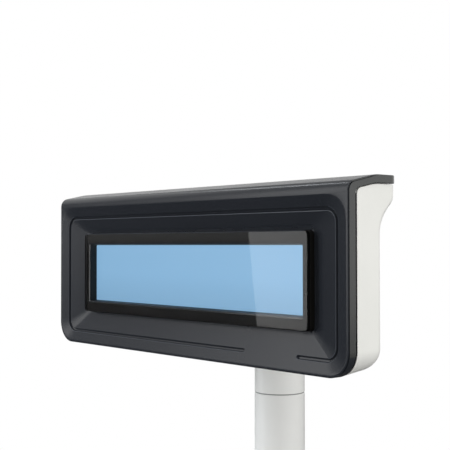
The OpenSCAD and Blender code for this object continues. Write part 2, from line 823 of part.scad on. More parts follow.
// Steel ballast plate
module base_plate() color("#6f7276") difference() {
    at_base() translate([0, 0, plate_z]) linear_extrude(plate_t) base_outline(plate_inset);
    at_mounts() rod_z(mount_d, 0, base_h);
    at_cover_screws() {
        rod_z(cover_screw[0] + 2 * play, 0, base_h);
        rod_z(cover_screw[1] + 2 * play, 0, cover_seat);
    }
    at_socket_screws() {
        rod_z(socket_screw[0] + 2 * play, 0, base_h);
        rod_z(socket_screw[1] + 2 * play, 0, plate_z + socket_screw[2]);
    }
}

// Nuts on the ballast plate for bolts that come up through the counter
module weld_nuts() color("#8d9094") at_mounts() difference() {
    translate([0, 0, plate_top]) cylinder(d = weld_nut_d, h = weld_nut_t, $fn = 6);
    rod_z(mount_d - 2 * play, plate_top - over, plate_top + weld_nut_t + over);
}

// Screws from under the ballast plate into the cover
module cover_screws() color("#8d9094") at_cover_screws() {
    rod_z(cover_screw[0], cover_seat - cover_screw[2] / 2, plate_top + cover_screw_l);
    rod_z(cover_screw[1], cover_seat - cover_screw[2], cover_seat);
}

// Rubber pad under the base
module base_pad() color("#1e1f21") difference() {
    at_base() linear_extrude(pad_t) base_outline(pad_margin);
    at_mounts() rod_z(mount_d, -over, pad_t + over);
}

// Rubber grommet for the cable in the back of the base
module cable_grommet() color("#1c1c1e") translate([0, base_back, grommet_z]) difference() {
    inner = -base_wall - grommet_lip;
    union() {
        rod_y(grommet_d - 2 * fit, inner, grommet_lip);
        rod_y(grommet_lip_d, 0, grommet_lip);
        rod_y(grommet_lip_d, inner, -base_wall);
    }
    rod_y(grommet_hole, inner - over, grommet_lip + over);
}

front_fascia();
display_window();
window_frame();
screen_glass();
backlight();
display_board();
board_chips();
cable_header();
board_screws();
rear_housing();
housing_screws();
cable_bushing();
tilt_yoke();
yoke_screws();
friction_washers();
tilt_pin();
tilt_nut();
tilt_caps();
neck();
stop_pin();
retaining_ring();
pole();
swivel_bush();
thrust_washer();
pole_socket();
socket_screws();
clamp_screw();
base_cover();
base_plate();
weld_nuts();
cover_screws();
base_pad();
cable_grommet();
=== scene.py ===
"""Visual model of a customer pole display, built on the CAD frame that it was packed with."""

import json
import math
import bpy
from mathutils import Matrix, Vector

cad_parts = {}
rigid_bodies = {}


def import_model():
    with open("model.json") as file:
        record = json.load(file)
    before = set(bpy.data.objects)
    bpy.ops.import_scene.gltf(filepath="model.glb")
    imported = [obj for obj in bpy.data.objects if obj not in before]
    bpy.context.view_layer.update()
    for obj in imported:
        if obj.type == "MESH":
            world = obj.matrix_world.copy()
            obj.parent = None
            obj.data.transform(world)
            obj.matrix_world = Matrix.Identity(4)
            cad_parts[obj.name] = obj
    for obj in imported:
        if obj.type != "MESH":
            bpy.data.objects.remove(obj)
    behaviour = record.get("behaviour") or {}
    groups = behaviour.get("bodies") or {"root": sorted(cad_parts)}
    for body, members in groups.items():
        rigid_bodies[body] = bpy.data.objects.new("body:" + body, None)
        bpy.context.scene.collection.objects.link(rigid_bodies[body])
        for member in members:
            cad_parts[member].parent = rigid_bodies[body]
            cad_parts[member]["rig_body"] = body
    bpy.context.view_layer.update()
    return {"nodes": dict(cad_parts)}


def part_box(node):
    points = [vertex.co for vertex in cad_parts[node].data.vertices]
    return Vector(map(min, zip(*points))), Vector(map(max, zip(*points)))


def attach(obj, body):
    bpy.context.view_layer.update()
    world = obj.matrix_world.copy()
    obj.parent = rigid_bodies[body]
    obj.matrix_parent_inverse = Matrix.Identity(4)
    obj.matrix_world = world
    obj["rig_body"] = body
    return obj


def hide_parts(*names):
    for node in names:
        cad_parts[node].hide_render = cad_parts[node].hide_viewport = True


bl_info = {
    "name": "Customer pole display",
    "version": (1, 0, 0),
    "blender": (4, 5, 0),
    "location": "3D View > Sidebar > Pole Display",
    "description": "Builds the shells, window, screen, stand and studio of a customer pole display",
    "category": "Object",
}

import bmesh
import bpy
from bpy.props import FloatProperty, FloatVectorProperty, PointerProperty
from bpy.types import Operator, Panel, PropertyGroup
from mathutils import Matrix, Vector
from mathutils.geometry import tessellate_polygon

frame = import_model()

MM = 0.001
SHELL_LOW, SHELL_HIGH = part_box("front_fascia")
HEAD = Vector((0.0, SHELL_LOW.y, SHELL_LOW.z))
HEAD_W = SHELL_HIGH.x - SHELL_LOW.x
HEAD_H = SHELL_HIGH.z - SHELL_LOW.z
ROOF_DEPTH = SHELL_HIGH.y - SHELL_LOW.y

CORNER_STEPS = 12  # faces in a corner of an outline
SIDE_RUNS = 4  # faces along its sides
EDGE_STEPS = 6  # faces in a rounded edge
SEAM_STEPS = 4  # faces in the pole's rounding at the seam
SOFT_STEPS = 3  # faces in an edge that is rounded by a modifier
BASE_STEPS = 8  # faces in the rounded edge of the base
BROW_STEPS = 12  # faces in the brow, and in the crest of the roof
UNDER_STEPS = 8  # the same for their underside
HOLE_STEPS = 32  # faces round a small hole
CLOTH_STEPS = 48  # faces along a cloth of the studio
TURN_STEPS = 96  # faces round a turned piece
END_TURNS = (90, 78, 66, 54, 42, 31)  # rows in the roof's round back corners, in degrees
LINE_RUN = (0.1, 0.9)  # shares of the fine line's width between which it is deep
WALL_SLANT = math.radians(62)  # slope of the groove's walls
DISH_POWER = 2.6  # how gently the dish's corners bend
FOOT_GAP = 0.08 * MM  # turn at the foot of the groove's walls
FACE_GAP = 0.06 * MM  # between faces that would otherwise lie in one plane
WELD = 0.004 * MM  # points nearer to each other than this are one
SLIVER = 0.002 * MM  # edges shorter than this are taken out
FLAT_TURN = math.radians(0.5)  # faces that turn less than this are one

WHITE = (1.0, 1.0, 1.0, 1.0)
TONE_PLAY = 0.05  # change of a finish's colour over its surface, either way
ROUGH_PLAY = 0.03  # change of its roughness, either way
WORN_GREY = Vector((0.5, 0.5, 0.5))  # what rubbed edges tend to
WORN_SHARE = 0.3  # how far they do
DUST_TINT = (0.55, 0.53, 0.5)
BUMP_STRENGTH = 0.35
ACRYLIC_IOR = 1.27
SCREEN_DIM = 0.86  # brightness of the lit screen along its lower edge
SCREEN_RAMP = (0.05, 0.5)  # shares of its height between which it brightens
SCREEN_BASE = 0.1  # how much of its colour the screen has without its light


def length(name, description, millimetres):
    """A length that a user may change, written in millimetres and kept in metres."""
    return FloatProperty(
        name=name, description=description, default=millimetres * MM, min=0.0, precision=5, unit="LENGTH"
    )


def angle(name, description, degrees):
    """An angle that a user may change, written in degrees."""
    return FloatProperty(name=name, description=description, default=math.radians(degrees), subtype="ANGLE")


def amount(name, description, value):
    """A plain factor that a user may change."""
    return FloatProperty(name=name, description=description, default=value, min=0.0, subtype="FACTOR")


def colour(name, description, red, green, blue):
    """A colour that a user may change, written as it shows on a screen, from 0 to 255."""
    shown = [channel / 255 for channel in (red, green, blue)]
    linear = [c / 12.92 if c <= 0.04045 else ((c + 0.055) / 1.055) ** 2.4 for c in shown]
    return FloatVectorProperty(
        name=name, description=description, default=linear, min=0.0, max=1.0, size=3, subtype="COLOR"
    )


class POLEDISPLAY_PG_front(PropertyGroup):
    """Sizes of the dark front shell."""

    edge_r: length("Edge radius", "Rounding of the shell's outer edges", 0.22)
    low_edge: length("Lower edge rounding", "Height of the rounding along the lower front edge", 0.85)
    line_w: length("Edge line width", "Width of the fine line between the front edge and the band", 0.6)
    line_d: length("Edge line depth", "Depth of the fine line", 0.9)
    seam_r: length("Seam edge depth", "Depth of the rounding where the band ends at the seam", 0.2)
    corner_r: length("Corner radius", "Radius of the two lower corners of the head", 10.4)
    band_d: length("Band depth", "Depth of the band round the side of the head", 4.4)
    roof_t: length("Roof thickness", "Thickness of the roof", 3.3)
    roof_slope: angle("Roof slope", "Angle at which the roof rises behind the brow", 12)
    roof_edge_r: length("Roof edge radius", "Rounding of the roof's back edge", 0.5)
    back_r: length("Back corner radius", "Radius of the roof's two back corners, seen from above", 4.5)
    crest_y: length("Crest depth", "Distance behind the front at which the roof turns level", 18.5)
    crest_r: length("Crest radius", "Radius of the turn to the level roof", 25)
    brow_r: length("Brow radius", "Radius from the front into the roof", 4.5)
    brow_in_r: length("Inner brow radius", "Radius under the brow", 2.5)
    tongue_in: length("Tongue inset", "Step in from the band to the tongue behind the seam", 1.9)
    tongue_t: length("Tongue thickness", "Thickness of the tongue that the housing slips over", 0.8)
    tongue_l: length("Tongue length", "Length of the tongue behind the band", 2.2)
    rib_l: length("Rib length", "How far the rib under the brow reaches behind the band", 1.55)
    rim_side: length("Side rim", "Width of the flat rim beside the dish", 1.0)
    rim_low: length("Lower rim", "Width of the flat rim under the dish", 1.3)
    rim_soft: length("Rim softening", "Width of the turn from the rim into the dish", 0.08)
    dish_drop: length("Dish drop", "Distance of the dish's upper edge under the roof", 7.75)
    dish_r: length("Dish radius", "Reach of the dish's corners at its rim", 11.3)
    dish_d: length("Dish depth", "Depth of the dish at the window", 4.8)
    ledge: length("Ledge", "Width of the flat ledge round the window", 0.6)
    floor_t: length("Floor thickness", "Wall behind the dish", 2.0)
    groove_w: length("Groove width", "Width of the groove round the dish", 1.9)
    groove_lip: length("Groove lip", "Rounding of the groove's two lips", 0.3)
    groove_d: length("Groove depth", "Depth of the groove's flat floor", 0.85)
    # Painted highlight: how far down the groove's lips the lighter finish reaches.
    groove_highlight_depth: length("Burnished lip", "How far the groove's lips are burnished, down their rounding", 0.1)
    groove_r: length("Groove radius", "Corner radius of the groove's centre line", 5.4)
    groove_side: length("Groove from the side", "Groove's centre line from the side of the head", 7.05)
    groove_low: length("Groove from below", "Groove's lower run above the head's lower edge", 6.4)
    groove_high: length("Groove from above", "Groove's upper run under the dish's upper edge", 5.6)
    groove_break: length("Groove break", "Length of the break in the lower run", 31.0)
    groove_end: length("Groove end", "Right end of the break from the side of the head", 29.4)


class POLEDISPLAY_PG_window(PropertyGroup):
    """Sizes of the window, its frame and the screen's opening."""

    corner_r: length("Corner radius", "Corner radius of the window", 1.8)
    gap: length("Gap", "Gap between the window and the front shell", 0.2)
    bevel: length("Bevel", "Bevel round the window", 0.25)
    border_w: length("Side border", "Border of the window beside the screen", 3.75)
    border_h: length("Upper and lower border", "Border of the window above and below the screen", 5.35)
    lip: length("Opening lip", "Width of the polished lip round the screen's opening", 0.8)
    lip_slope: angle("Lip slope", "How far the lip slopes into the opening", 8)
    draft_w: length("Side draft", "How far the opening narrows on each side, down to the screen", 0.9)
    draft_h: length("Upper and lower draft", "How far the opening narrows above and below", 0.45)
    opening_r: length("Opening radius", "Corner radius of the screen's opening", 0.5)
    pocket_r: length("Pocket radius", "Corner radius of the pocket that holds the screen", 0.25)
    frame_edge: length("Frame bevel", "Bevel round the front of the frame", 0.2)


class POLEDISPLAY_PG_housing(PropertyGroup):
    """Sizes of the white rear housing."""

    inset: length("Inset", "Step in from the front shell to the housing", 0.8)
    low_inset: length("Lower inset", "Step up from the front shell to the housing at the bottom", 0.2)
    low_rise: length("Lower rise", "How far the bottom rises towards the back", 1.2)
    gap: length("Seam", "Shadow gap between the band and the housing", 1.7)
    roof_gap: length("Roof seam", "Gap between the roof and the housing", 0.4)
    snug_gap: length("Inner roof seam", "Gap to the roof between the housing's ends", 0.15)
    snug_in: length("Rise inset", "Where the housing's top starts to rise to the roof, from its sides", 2.0)
    snug_run: length("Rise run", "Width of that rise", 0.6)
    front_r: length("Front edge", "Rounding of the housing's front edge", 0.12)
    rebate: length("Rebate", "Depth of the rebate that takes the front shell's tongue", 3.0)
    edge_r: length("Edge radius", "Rounding of the housing's upright back edges", 4.2)
    low_r: length("Lower edge radius", "Rounding of the housing's lower back edge", 7.0)
    wall: length("Wall", "Wall of the housing", 2.0)
    back_y: length("Back wall", "Distance of the back wall behind the front of the head", 21.9)
    scoop_drop: length("Sweep drop", "Where the back wall starts to sweep out, under the roof", 23.7)
    scoop_r: length("Sweep radius", "Radius of the sweep under the roof", 14)
    bend_up: length("Bend", "Height above the start of the sweep from which it follows the roof", 5)
    lip_r: length("Lip radius", "Rounding of the lip at the end of the sweep", 1.6)
    screw_r: length("Screw head radius", "Radius of the heads of the case screws", 2.5)
    well_r: length("Screw well radius", "Radius of the wells of the case screws", 2.75)
    well_d: length("Screw well depth", "Depth of the wells of the case screws", 4.5)
    well_edge: length("Well edge", "Rounding of the edges of the wells", 0.15)
    cable_r: length("Cable recess radius", "Radius of the recess for the cable bushing", 6.0)
    cable_d: length("Cable recess depth", "Depth of that recess", 1.5)


class POLEDISPLAY_PG_stand(PropertyGroup):
    """Sizes of the pole, the neck and the base."""

    pole_edge_r: length("Pole edge radius", "Rounding of the pole's and the neck's edges at the seam", 0.35)
    pole_wall: length("Pole wall", "Wall of the pole", 1.5)
    base_r: length("Base radius", "Corner radius of the base, seen from above", 18)
    base_edge_r: length("Base edge radius", "Radius round the top edge of the base", 7)
    base_wall: length("Base wall", "Wall of the base cover", 2.5)
    base_foot: length("Base foot", "Rounding of the base cover's lower edge", 0.3)
    collar_r: length("Collar radius", "Radius of the hole round the pole", 12.8)
    collar_edge: length("Collar edge", "Rounding of the edge of that hole", 0.4)
    inlet_lip: length("Inlet lip", "How far the grommet overlaps the edge of the cable's hole", 1.0)
    soften: length("Softened edges", "Rounding of the edges of small moulded and turned pieces", 0.4)


class POLEDISPLAY_PG_finish(PropertyGroup):
    """Colours of the finishes."""

    fascia: colour("Front shell", "Anthracite plastic", 36, 39, 45)
    # Painted highlight: a lighter anthracite on the groove's lips that stands in for the light they catch.
    burnished: colour("Groove lips", "Anthracite plastic, burnished along the groove", 66, 70, 77)
    housing: colour("Housing", "White plastic", 240, 240, 236)
    pole: colour("Pole", "White powder coat", 240, 240, 238)
    seam: colour("Seam", "Grey washer in the swivel seam", 150, 151, 150)
    frame: colour("Window frame", "Black frame behind the window", 19, 18, 16)
    # Painted highlight: this grey, lighter than the black frame, stands in for the light line along the
    # opening's lip and the window's top bevel; the finish's low roughness is real polish.
    lip: colour("Opening lip", "Polished lip round the screen's opening", 70, 74, 82)
    ink: colour("Edge ink", "Black ink on the edges of the window", 12, 12, 13)
    screen: colour("Screen", "Pale blue lit screen", 136, 182, 218)
    steel: colour("Steel", "Zinc-plated steel", 186, 188, 192)
    socket: colour("Socket", "Turned aluminium", 196, 198, 202)
    ballast: colour("Ballast", "Grey primer", 112, 114, 118)
    rubber: colour("Rubber", "Black rubber", 34, 34, 36)
    board: colour("Board", "Green solder mask", 28, 100, 56)
    chip: colour("Chips", "Black moulded packages", 27, 27, 29)
    header: colour("Header", "Cream nylon", 232, 227, 210)
    bush: colour("Bush", "Plain acetal", 206, 207, 202)
    guide: colour("Light guide", "White light guide", 238, 242, 244)


class POLEDISPLAY_PG_stage(PropertyGroup):
    """Camera and studio light."""

    lens: FloatProperty(
        name="Lens", description="Focal length on a 36 mm sensor", default=76.8, unit="CAMERA", min=1.0
    )
    camera: FloatVectorProperty(
        name="Camera",
        description="Place of the camera from the lower front edge of the head",
        default=(0.34755, -0.27094, 0.05144),
        size=3,
        subtype="TRANSLATION",
        unit="LENGTH",
    )
    turn: angle("Turn", "Turn of the camera about the upright axis", 49.312)
    rise: angle("Rise", "How far the camera looks up", 1.156)
    roll: angle("Roll", "Roll of the camera", -0.072)
    fill: amount("Fill", "Even light from all round", 0.7)
    fill_low: amount("Fill from below", "Share of the fill that comes from below", 0.26)
    fill_high: amount("Fill from above", "Share of the fill that comes from above", 1.1)
    strip: amount("Strip lamp", "Brightness of the tall strip in front, which the window mirrors", 1.65)
    strip_turn: angle("Strip turn", "Left edge of the strip, left of straight ahead", 47.85)
    strip_lean: angle("Strip lean", "Lean of the strip to the left", 5.3)
    strip_reach: length("Strip distance", "Distance of the strip from the head", 2500)
    strip_w: length("Strip width", "Width of the strip", 390)
    strip_h: length("Strip height", "Height of the strip", 3200)
    glare_x: length("Glare", "Where the strip's left edge shows in the window, right of its middle", 47.5)
    card: amount("Grey card", "Brightness of the grey card beside the strip", 0.37)
    streak: amount("Brow lamp", "Brightness of the lamp above on the left, which the brow mirrors", 8.0)
    side: amount("Side panel", "Brightness of the panel on the right", 1.35)
    front: amount("Front panel", "Brightness of the soft panel in front on the left", 4.2)
    cloth: amount("Dark cloth", "Brightness of the dark cloth in front", 0.05)
    band: amount("Band card", "Brightness of the card behind on the right, which the band mirrors", 0.46)
    warm: colour("Warm light", "Tint of the card that the band mirrors", 252, 250, 220)
    cool: colour("Cool light", "Tint of the lamps in front on the left", 246, 251, 255)
    plain: colour("Plain light", "Tint of the panel on the right", 255, 255, 253.311)


def arc(centre, radius, start, end, steps):
    """Points on an arc about centre, from one angle in degrees to another."""
    turns = [math.radians(start + (end - start) * i / steps) for i in range(steps + 1)]
    return [(centre[0] + radius * math.cos(t), centre[1] + radius * math.sin(t)) for t in turns]


def circle(radius, steps, centre=(0.0, 0.0)):
    """Points on a circle."""
    return arc(centre, radius, 0, 360, steps)[:-1]


def quarter_turns(steps):
    """Angles from nought to a quarter turn."""
    return [math.pi / 2 * step / steps for step in range(steps + 1)]


def between(first, second, share):
    """The point that lies a share of the way from the first to the second."""
    return tuple(a + (b - a) * share for a, b in zip(first, second))


def soft_arc(centre, radius, start, end, steps, power):
    """Points on a corner whose bend starts and ends gently; a power of 2 makes it an arc."""
    turns = arc((0.0, 0.0), 1.0, start, end, steps)
    bent = [[math.copysign(abs(part) ** (2 / power), part) for part in turn] for turn in turns]
    return [(centre[0] + radius * u, centre[1] + radius * v) for u, v in bent]


def grown(shape, margin):
    """Half width, half height, middle and corner radius of an outline, moved out by a margin."""
    half_w, half_h, middle, radius = shape
    return half_w + margin, half_h + margin, middle, radius + margin


def outline(half_w, half_h, radius, top_radius=None, marks=(), runs=SIDE_RUNS, top_shares=(), power=2.0):
    """Points round a rounded rectangle about its middle, anticlockwise from its lower right corner.

    marks are fixed places along its lower side, which all rings of one piece share, top_shares are
    shares of its upper side at which it gets points, and power shapes its corners.
    """
    top = radius if top_radius is None else top_radius
    corners = (
        (half_w - radius, radius - half_h, radius),
        (half_w - top, half_h - top, top),
        (top - half_w, half_h - top, top),
        (radius - half_w, radius - half_h, radius),
    )
    points = []
    for quarter, (u, v, r) in enumerate(corners):
        points += soft_arc((u, v), r, 90 * (quarter - 1), 90 * quarter, CORNER_STEPS, power)
        if quarter < 3:
            u, v, r = corners[quarter + 1]
            start, end = points[-1], arc((u, v), r, 90 * quarter, 90 * quarter, 1)[0]
            shares = top_shares if quarter == 1 and top_shares else [i / runs for i in range(1, runs)]
            points += [between(start, end, share) for share in shares]
    return points + [(mark, -half_h) for mark in marks]


def inset_path(path, depths):
    """An open path moved to its right by a depth at each point; its ends move along the head's depth."""
    moved = [(path[0][0] + depths[0], path[0][1])]
    for before, point, after, depth in zip(path, path[1:], path[2:], depths[1:]):
        first = (Vector(point) - Vector(before)).normalized()
        second = (Vector(after) - Vector(point)).normalized()
        normals = Vector((first.y, -first.x)), Vector((second.y, -second.x))
        miter = (normals[0] + normals[1]) / (1 + normals[0].dot(normals[1]))
        moved.append(tuple(Vector(point) + miter * depth))
    return moved + [(path[-1][0] - depths[-1], path[-1][1])]


def face_of(node):
    """Half width, half height and middle height of a CAD node, seen from the front."""
    low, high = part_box(node)
    return (high.x - low.x) / 2, (high.z - low.z) / 2, (low.z + high.z) / 2


class Skin:
    """Points and faces of one piece, gathered ring by ring."""

    def __init__(self):
        self.points = []
        self.faces = []
        self.paint = []

    def add(self, points):
        """Adds points and returns their numbers."""
        start = len(self.points)
        self.points += [tuple(point) for point in points]
        return list(range(start, len(self.points)))

    def face(self, corners, paint=0):
        """Adds one face with a material number."""
        self.faces.append(tuple(corners))
        self.paint.append(paint)

    def loop(self, first, second, skip=(), paint=0):
        """Joins two closed rings of the same count."""
        for i in range(len(first)):
            j = (i + 1) % len(first)
            if i not in skip:
                self.face((first[i], first[j], second[j], second[i]), paint)

    def loops(self, rings, skip=()):
        """Joins each closed ring to the next."""
        for first, second in zip(rings, rings[1:]):
            self.loop(first, second, skip)

    def run(self, first, second, paint=0):
        """Joins two open rows of the same count."""
        for i in range(len(first) - 1):
            self.face((first[i], first[i + 1], second[i + 1], second[i]), paint)

    def runs(self, rows):
        """Joins each open row to the next."""
        for first, second in zip(rows, rows[1:]):
            self.run(first, second)

    def fill(self, outer, holes=()):
        """Closes a flat ring, apart from its holes."""
        rings = [outer, *holes]
        numbers = [number for ring in rings for number in ring]
        flat = [[Vector(self.points[number]) for number in ring] for ring in rings]
        for corners in tessellate_polygon(flat):
            self.face([numbers[corner] for corner in corners])

    def mesh(self, name):
        """Makes a mesh of what was gathered."""
        mesh = bpy.data.meshes.new(name)
        mesh.from_pydata(self.points, [], self.faces)
        mesh.polygons.foreach_set("material_index", self.paint)
        return mesh


def finish_mesh(mesh, sharp):
    """Welds a mesh, turns its faces outwards and smooths it up to an angle in degrees."""
    work = bmesh.new()
    work.from_mesh(mesh)
    bmesh.ops.remove_doubles(work, verts=work.verts, dist=WELD)
    bmesh.ops.dissolve_degenerate(work, edges=work.edges, dist=SLIVER)
    bmesh.ops.recalc_face_normals(work, faces=work.faces)
    for face in work.faces:
        face.smooth = True
    for edge in work.edges:
        edge.smooth = edge.calc_face_angle(0.0) < math.radians(sharp)
    work.to_mesh(mesh)
    work.free()


def put(obj, body, nodes, materials):
    """Links a new piece, gives it its body and materials, and hides the CAD nodes that it stands for."""
    bpy.context.scene.collection.objects.link(obj)
    for material in materials:
        obj.data.materials.append(bpy.data.materials[material])
    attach(obj, body)
    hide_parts(*nodes)


def weigh_normals(obj):
    """Lets the large faces of a piece set its shading."""
    modifier = obj.modifiers.new("Even shading", "WEIGHTED_NORMAL")
    modifier.keep_sharp = True


def make_piece(name, skin, body, nodes, materials, sharp=40.0):
    """Turns a skin into a piece of the model."""
    mesh = skin.mesh(name)
    finish_mesh(mesh, sharp)
    obj = bpy.data.objects.new(name, mesh)
    put(obj, body, nodes, materials)
    weigh_normals(obj)


def soften_node(node, material, radius, sharp=35.0):
    """Stands a copy with rounded edges in the place of a CAD node."""
    source = frame["nodes"][node]
    mesh = source.data.copy()
    mesh.materials.clear()
    work = bmesh.new()
    work.from_mesh(mesh)
    bmesh.ops.remove_doubles(work, verts=work.verts, dist=WELD)
    bmesh.ops.dissolve_limit(work, angle_limit=FLAT_TURN, verts=work.verts, edges=work.edges)
    work.to_mesh(mesh)
    work.free()
    finish_mesh(mesh, sharp)
    obj = bpy.data.objects.new("soft_" + node, mesh)
    put(obj, source["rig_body"], [node], [material])
    bevel = obj.modifiers.new("Rounded edges", "BEVEL")
    bevel.width = radius
    bevel.segments = SOFT_STEPS
    bevel.limit_method = "ANGLE"
    bevel.angle_limit = math.radians(sharp)
    bevel.harden_normals = False
    weigh_normals(obj)


def turned(profile, centre):
    """A skin turned about an upright axis through centre from a closed profile of radius and height."""
    skin = Skin()
    rings = []
    for radius, height in profile:
        rings.append(skin.add((x, y, height) for x, y in circle(radius, TURN_STEPS, centre)))
    skin.loops(rings + rings[:1])
    return skin


def feed(tree, socket, value):
    """Links an input to an output, or sets its value."""
    if isinstance(value, bpy.types.NodeSocket):
        tree.links.new(value, socket)
    else:
        socket.default_value = value


def feed_all(tree, node, values):
    """Feeds the named inputs of a node."""
    for label, value in values.items():
        feed(tree, node.inputs[label], value)


def coordinate(tree, kind):
    """A texture coordinate."""
    return tree.nodes.new("ShaderNodeTexCoord").outputs[kind]


def part_of(tree, vector, axis):
    """The X, Y or Z of a vector."""
    node = tree.nodes.new("ShaderNodeSeparateXYZ")
    tree.links.new(vector, node.inputs[0])
    return node.outputs[axis]


def math_node(tree, operation, first, second):
    """A math node of two values, each an output or a number."""
    node = tree.nodes.new("ShaderNodeMath")
    node.operation = operation
    feed(tree, node.inputs[0], first)
    feed(tree, node.inputs[1], second)
    return node.outputs[0]


def noise_node(tree, vector, scale, detail):
    """A noise texture over a vector."""
    node = tree.nodes.new("ShaderNodeTexNoise")
    feed_all(tree, node, {"Vector": vector, "Scale": scale, "Detail": detail})
    return node.outputs["Fac"]


def map_range(tree, value, low, high, to_low=0.0, to_high=1.0):
    """A value moved from one range to another, and kept inside it."""
    node = tree.nodes.new("ShaderNodeMapRange")
    limits = {"From Min": low, "From Max": high, "To Min": to_low, "To Max": to_high}
    feed_all(tree, node, {"Value": value, **limits})
    return node.outputs["Result"]


def mix_colour(tree, factor, first, second):
    """A mix of two colours, each an output or a value."""
    node = tree.nodes.new("ShaderNodeMix")
    node.data_type = "RGBA"
    tree.links.new(factor, node.inputs["Factor"])
    sockets = [socket for socket in node.inputs if socket.type == "RGBA"]
    for socket, value in zip(sockets, (first, second)):
        feed(tree, socket, value if isinstance(value, bpy.types.NodeSocket) else (*value, 1.0))
    return next(socket for socket in node.outputs if socket.type == "RGBA")


def mix_shaders(tree, factor, first, second):
    """A mix of two shaders."""
    node = tree.nodes.new("ShaderNodeMixShader")
    for socket, value in zip(node.inputs, (factor, first, second)):
        tree.links.new(value, socket)
    return node.outputs[0]


def new_group(name, label, value, outputs):
    """A shader node group: its tree, the one number that is set on it, and the inputs of its end."""
    group = bpy.data.node_groups.new(name, "ShaderNodeTree")
    number = group.interface.new_socket(label, in_out="INPUT", socket_type="NodeSocketFloat")
    number.default_value = value
    for output in outputs:
        group.interface.new_socket(output, in_out="OUTPUT", socket_type="NodeSocketFloat")
    start, end = group.nodes.new("NodeGroupInput"), group.nodes.new("NodeGroupOutput")
    return group, start.outputs[label], end.inputs


def end_mask(group, amount, ends, mask, patches):
    """Ends a group with a mask that comes in patches, times an amount."""
    patchy = math_node(group, "MULTIPLY", mask, patches)
    group.links.new(math_node(group, "MULTIPLY", patchy, amount), ends["Mask"])


def grain_group():
    """Fine moulded grain, with the slow change of tone that a moulded face has."""
    group, scale, ends = new_group("Moulded grain", "Scale", 1800.0, ("Height", "Tone"))
    place = coordinate(group, "Object")
    slow = noise_node(group, place, scale=14.0, detail=4.0)
    group.links.new(noise_node(group, place, scale, detail=3.0), ends["Height"])
    group.links.new(map_range(group, slow, 0.3, 0.7), ends["Tone"])


def dust_group():
    """A thin film of dust on what faces up."""
    group, amount, ends = new_group("Shop dust", "Amount", 0.1, ("Mask",))
    normal = group.nodes.new("ShaderNodeNewGeometry").outputs["Normal"]
    upward = map_range(group, part_of(group, normal, "Z"), 0.3, 1.0)
    noise = noise_node(group, coordinate(group, "Object"), scale=60.0, detail=6.0)
    end_mask(group, amount, ends, upward, map_range(group, noise, 0.35, 0.75, 0.4, 1.0))


def rub_group():
    """Edges that hands have rubbed."""
    group, amount, ends = new_group("Rubbed edges", "Amount", 0.2, ("Mask",))
    pointed = group.nodes.new("ShaderNodeNewGeometry").outputs["Pointiness"]
    edges = map_range(group, pointed, 0.52, 0.6)
    noise = noise_node(group, coordinate(group, "Object"), scale=120.0, detail=5.0)
    end_mask(group, amount, ends, edges, map_range(group, noise, 0.35, 0.65))


def place_group(tree, name, label, value):
    """The outputs of a shared node group, placed in a material with its own number."""
    node = tree.nodes.new("ShaderNodeGroup")
    node.node_tree = bpy.data.node_groups[name]
    node.inputs[label].default_value = value
    return node.outputs


def new_material(name):
    """The node tree and the shader of a new material."""
    material = bpy.data.materials.new(name)
    material.use_nodes = True
    tree = material.node_tree
    return tree, tree.nodes["Principled BSDF"]


def moulded_material(name, tint, roughness, grain, depth, dust, rub, constants):
    """A moulded, painted or metal finish: grain, a slow change of tone, dust on top and rubbed edges."""
    tree, shader = new_material(name)
    grained = place_group(tree, "Moulded grain", "Scale", grain)
    dusty = place_group(tree, "Shop dust", "Amount", dust)["Mask"]
    rubbed = place_group(tree, "Rubbed edges", "Amount", rub)["Mask"]
    tint = Vector(tint)
    toned = mix_colour(tree, grained["Tone"], tint * (1 - TONE_PLAY), tint * (1 + TONE_PLAY))
    worn = mix_colour(tree, rubbed, toned, tint.lerp(WORN_GREY, WORN_SHARE))
    rough = map_range(tree, grained["Tone"], 0.0, 1.0, roughness - ROUGH_PLAY, roughness + ROUGH_PLAY)
    bump = tree.nodes.new("ShaderNodeBump")
    heights = {"Strength": BUMP_STRENGTH, "Distance": depth * MM, "Height": grained["Height"]}
    feed_all(tree, bump, heights)
    looks = {
        "Base Color": mix_colour(tree, dusty, worn, DUST_TINT),
        "Roughness": math_node(tree, "ADD", rough, dusty),
        "Normal": bump.outputs["Normal"],
    }
    feed_all(tree, shader, {**looks, **constants})


def acrylic_material():
    """Clear polished acrylic."""
    tree, shader = new_material("clear_acrylic")
    tone = place_group(tree, "Moulded grain", "Scale", 300.0)["Tone"]
    rough = map_range(tree, tone, 0.0, 1.0, 0.0, 0.02)
    looks = {"Base Color": WHITE, "Transmission Weight": 1.0, "IOR": ACRYLIC_IOR, "Roughness": rough}
    feed_all(tree, shader, looks)


def screen_material(tint):
    """The lit screen: even pale blue, a little deeper towards its lower edge."""
    tree, shader = new_material("lit_screen")
    tint = Vector(tint)
    height = map_range(tree, part_of(tree, coordinate(tree, "Generated"), "Z"), *SCREEN_RAMP)
    looks = {
        "Base Color": (*(tint * SCREEN_BASE), 1.0),
        "Roughness": 0.3,
        "Emission Color": mix_colour(tree, height, tint * SCREEN_DIM, tint),
        "Emission Strength": 1.0,
    }
    feed_all(tree, shader, looks)


